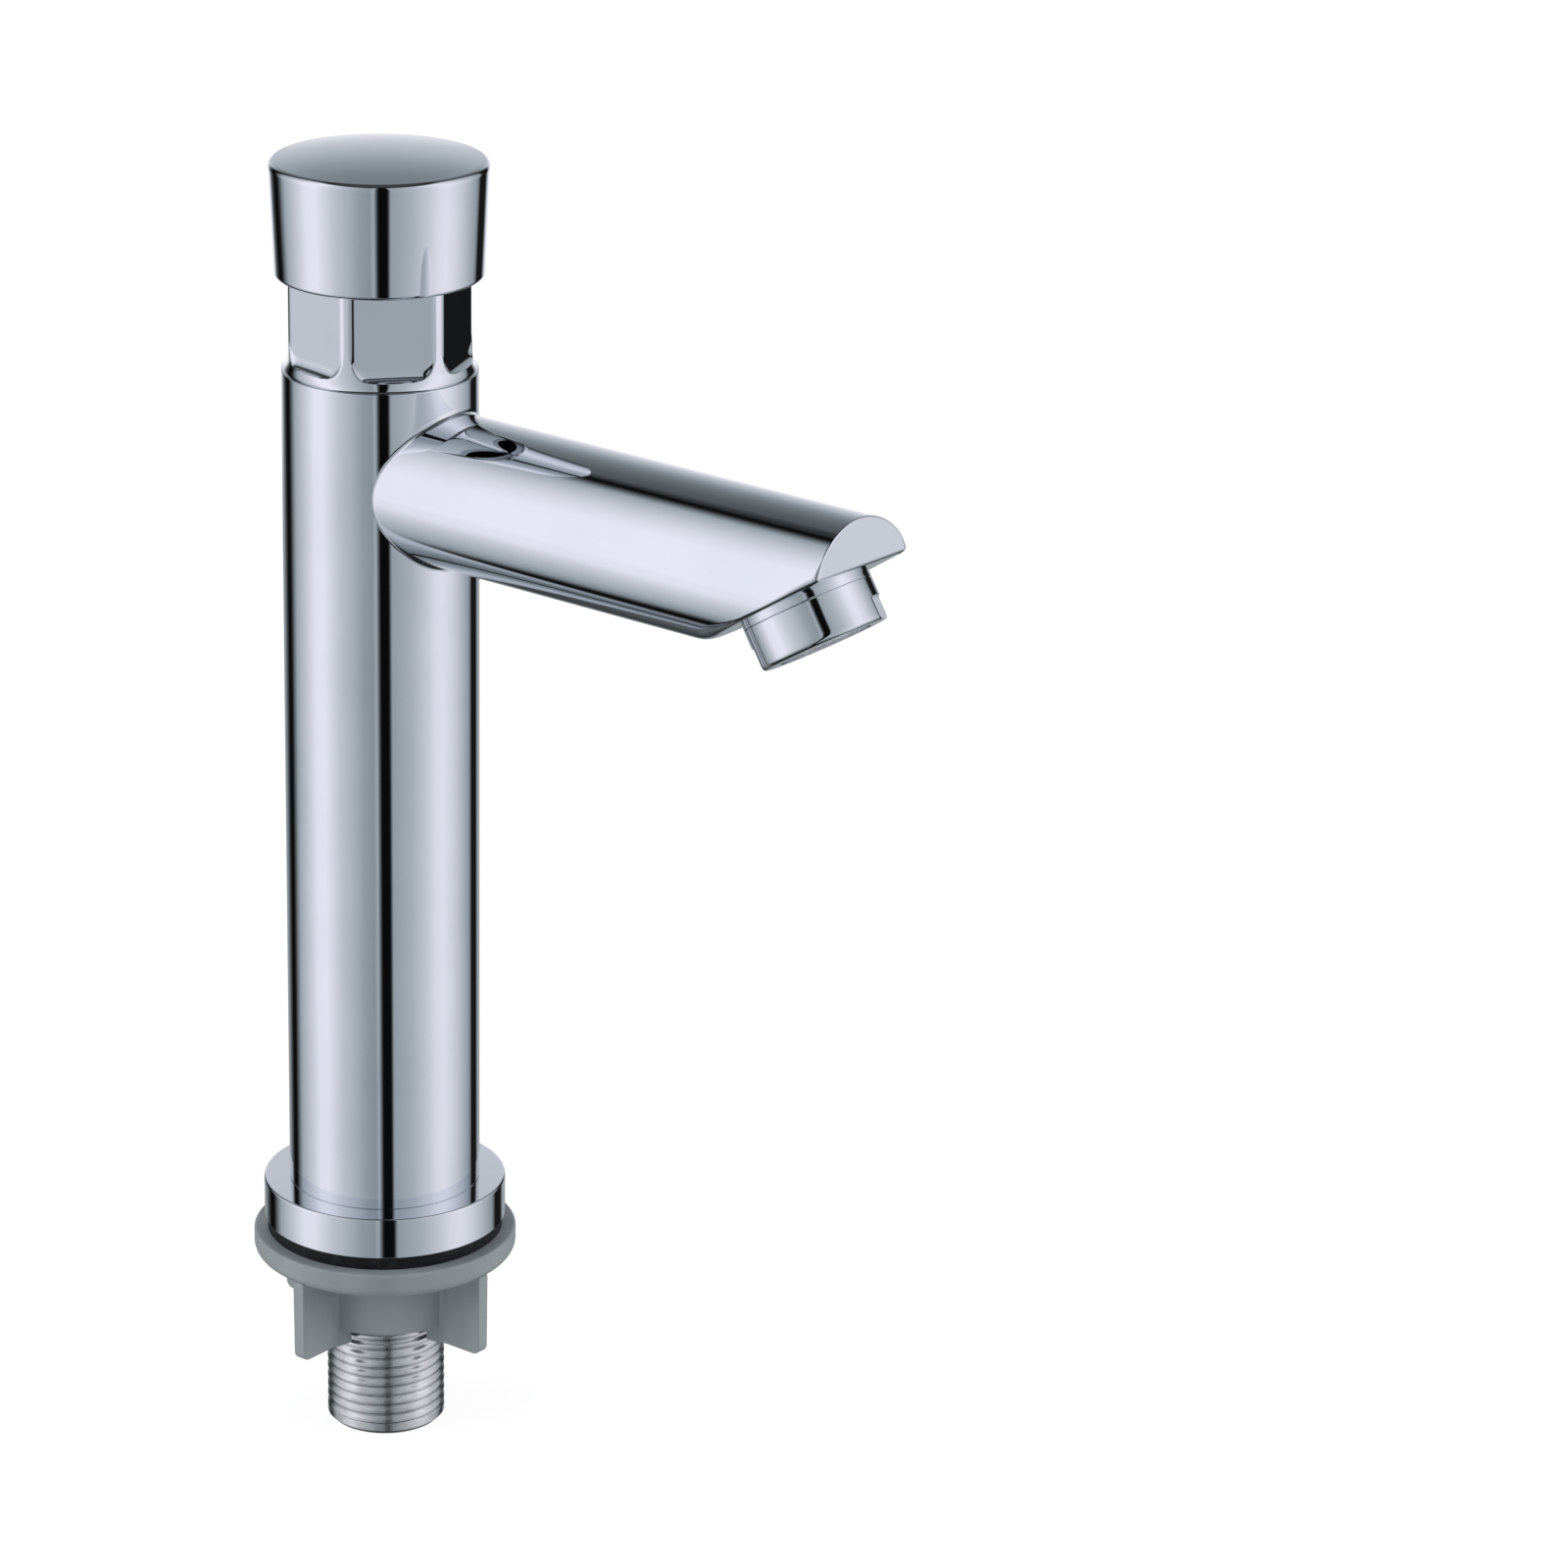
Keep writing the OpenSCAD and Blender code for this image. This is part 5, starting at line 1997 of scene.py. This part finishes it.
    def backdrop(self) -> None:
        """Hangs a graded sheet behind the tap, which only the chrome sees."""
        behind = -Vector(self._front()) * self.backdrop_at
        sheet = fresh(
            "backdrop",
            bpy.ops.mesh.primitive_plane_add,
            size=self.backdrop_size,
            location=(behind + Vector((0, 0, self.backdrop_z))) * MM,
            rotation=(math.pi / 2, 0, math.radians(self.tent_turn - 90)),
        )
        placed(sheet, sheet.matrix_world.copy())
        stuff = bpy.data.materials.new("graded_backdrop")
        stuff.use_nodes = True
        graph = Graph(stuff.node_tree)
        where = graph.add("ShaderNodeTexCoord", out="Object")
        aside = graph.dot(where, self._right())
        height = graph.dot(where, (0.0, 0.0, 1.0))
        low, span = self.backdrop_grade[0][0], self.backdrop_size
        grade = [((z - low) / span, level) for z, level in self.backdrop_grade]
        level = graph.ramp((height - low) / span, grade)
        half = self.backdrop_half[0] + height.step(0.1, 0.6) * self.backdrop_half[1]
        edge = ((aside.size() - half) / self.backdrop_fade).step(0.0, 1.0)
        shown = (1 - edge) * height.step(-0.08, 0.02)
        light = graph.add(
            "ShaderNodeEmission", None, {"Color": graph.cast(level), "Strength": level}
        )
        clear = graph.add("ShaderNodeBsdfTransparent")
        mixed = graph.add("ShaderNodeMixShader", None, {0: shown, 1: clear, 2: light})
        graph.add("ShaderNodeOutputMaterial", None, {"Surface": mixed})
        sheet.data.materials.append(stuff)
        sheet.visible_camera = sheet.visible_diffuse = sheet.visible_shadow = False

    def tent(self) -> None:
        """Builds the light tent: two soft walls with black flags between, and a dark roof."""
        world = bpy.data.worlds.new("light_tent")
        bpy.context.scene.world = world
        world.use_nodes = True
        graph = Graph(world.node_tree)
        way = graph.add("ShaderNodeTexCoord", out="Generated")
        ahead, aside = graph.dot(way, self._front()), graph.dot(way, self._right())
        up = graph.dot(way, (0.0, 0.0, 1.0))
        degrees = 180 / math.pi
        bearing = degrees * graph.add(
            "ShaderNodeMath", {"operation": "ARCTAN2"}, {0: aside, 1: ahead}
        )
        climb = degrees * graph.add("ShaderNodeMath", {"operation": "ARCSINE"}, {0: up})
        # The flags stand askew: their edges move with the elevation
        low, high = 1 - climb.step(-53.0, -42.0), climb.step(20.0, 42.0)
        wall = graph.ramp((bearing - 16 * low) / 360 + 0.5, self._stops(self.walls, 360))
        side = graph.ramp(climb / 180 + 0.5, self._stops(self.wall_climb, 180))
        back = graph.ramp(climb / 180 + 0.5, self._stops(self.back_climb, 180))
        start = 147 - 11 * high - 25 * low
        behind = ((bearing.size() - start) / (21 - 5 * high - 11 * low)).step(0.0, 1.0)
        level = self.gain * wall * (side + (back - side) * behind)
        # Behind and below the tap the dim ground takes the walls' place
        ground = low * bearing.size().step(122.0, 129.0)
        nadir = self.ground[0] + self.ground[1] * climb.step(-66.0, -52.0)
        total = level + (nadir - level) * ground
        total = total + (self.roof - total) * climb.step(*self.roof_from)
        seen = graph.add(
            "ShaderNodeBackground", None, {"Color": graph.cast(total), "Strength": total + 0.002}
        )
        share, even = self.for_matt
        soft = graph.add(
            "ShaderNodeBackground",
            None,
            {"Color": graph.cast(total), "Strength": share * total + even},
        )
        white = graph.add(
            "ShaderNodeBackground", None, {"Color": tone(1, 1, 1), "Strength": 1.0}
        )
        diffuse = graph.add("ShaderNodeLightPath", out="Is Diffuse Ray")
        lens = graph.add("ShaderNodeLightPath", out="Is Camera Ray")
        inner = graph.add("ShaderNodeMixShader", None, {0: diffuse, 1: seen, 2: soft})
        outer = graph.add("ShaderNodeMixShader", None, {0: lens, 1: inner, 2: white})
        graph.add("ShaderNodeOutputWorld", None, {"Surface": outer})

    @staticmethod
    def _stops(
        levels: Sequence[tuple[float, float]], turn: float
    ) -> list[tuple[float, float]]:
        """Turns levels by angle into ramp stops, where a turn of the angle spans the ramp."""
        return [(angle / turn + 0.5, level) for angle, level in levels]

    def lamps(self) -> None:
        """Hangs the soft lamps that light the matt pieces only."""
        target = Vector(self.lit) * MM
        for lamp in self.lights:
            data = bpy.data.lights.new(lamp.name, "AREA")
            data.shape, data.size, data.energy = "DISK", lamp.width, lamp.power
            obj = bpy.data.objects.new(lamp.name, data)
            bpy.context.scene.collection.objects.link(obj)
            turn, rise = math.radians(self.tent_turn + lamp.bearing), math.radians(lamp.climb)
            level = math.cos(rise)
            way = Vector((math.cos(turn) * level, math.sin(turn) * level, math.sin(rise)))
            facing = (-way).to_track_quat("-Z", "Y").to_matrix().to_4x4()
            obj.matrix_world = Matrix.Translation(target + way) @ facing
            obj.visible_glossy = False

    def build(self) -> None:
        """Sets up the whole studio."""
        self.camera()
        self.floor()
        self.backdrop()
        self.tent()
        self.lamps()
        bpy.context.scene.view_settings.view_transform = "Standard"


def main() -> None:
    """Builds every sub-assembly and the studio."""
    logging.basicConfig(level=logging.INFO, format="%(name)s: %(message)s")
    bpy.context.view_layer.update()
    spout = Spout()
    assemblies = [
        Base(),
        Pillar(),
        spout,
        OutletCollar(spout.outlet_matrix()),
        Bonnet(),
        PushCap(),
        Shank(),
        WingNut(),
        ReturnSpring(),
        Innards(),
    ]
    for assembly in assemblies:
        assembly.build()
    Studio().build()


if __name__ == "__main__":
    main()
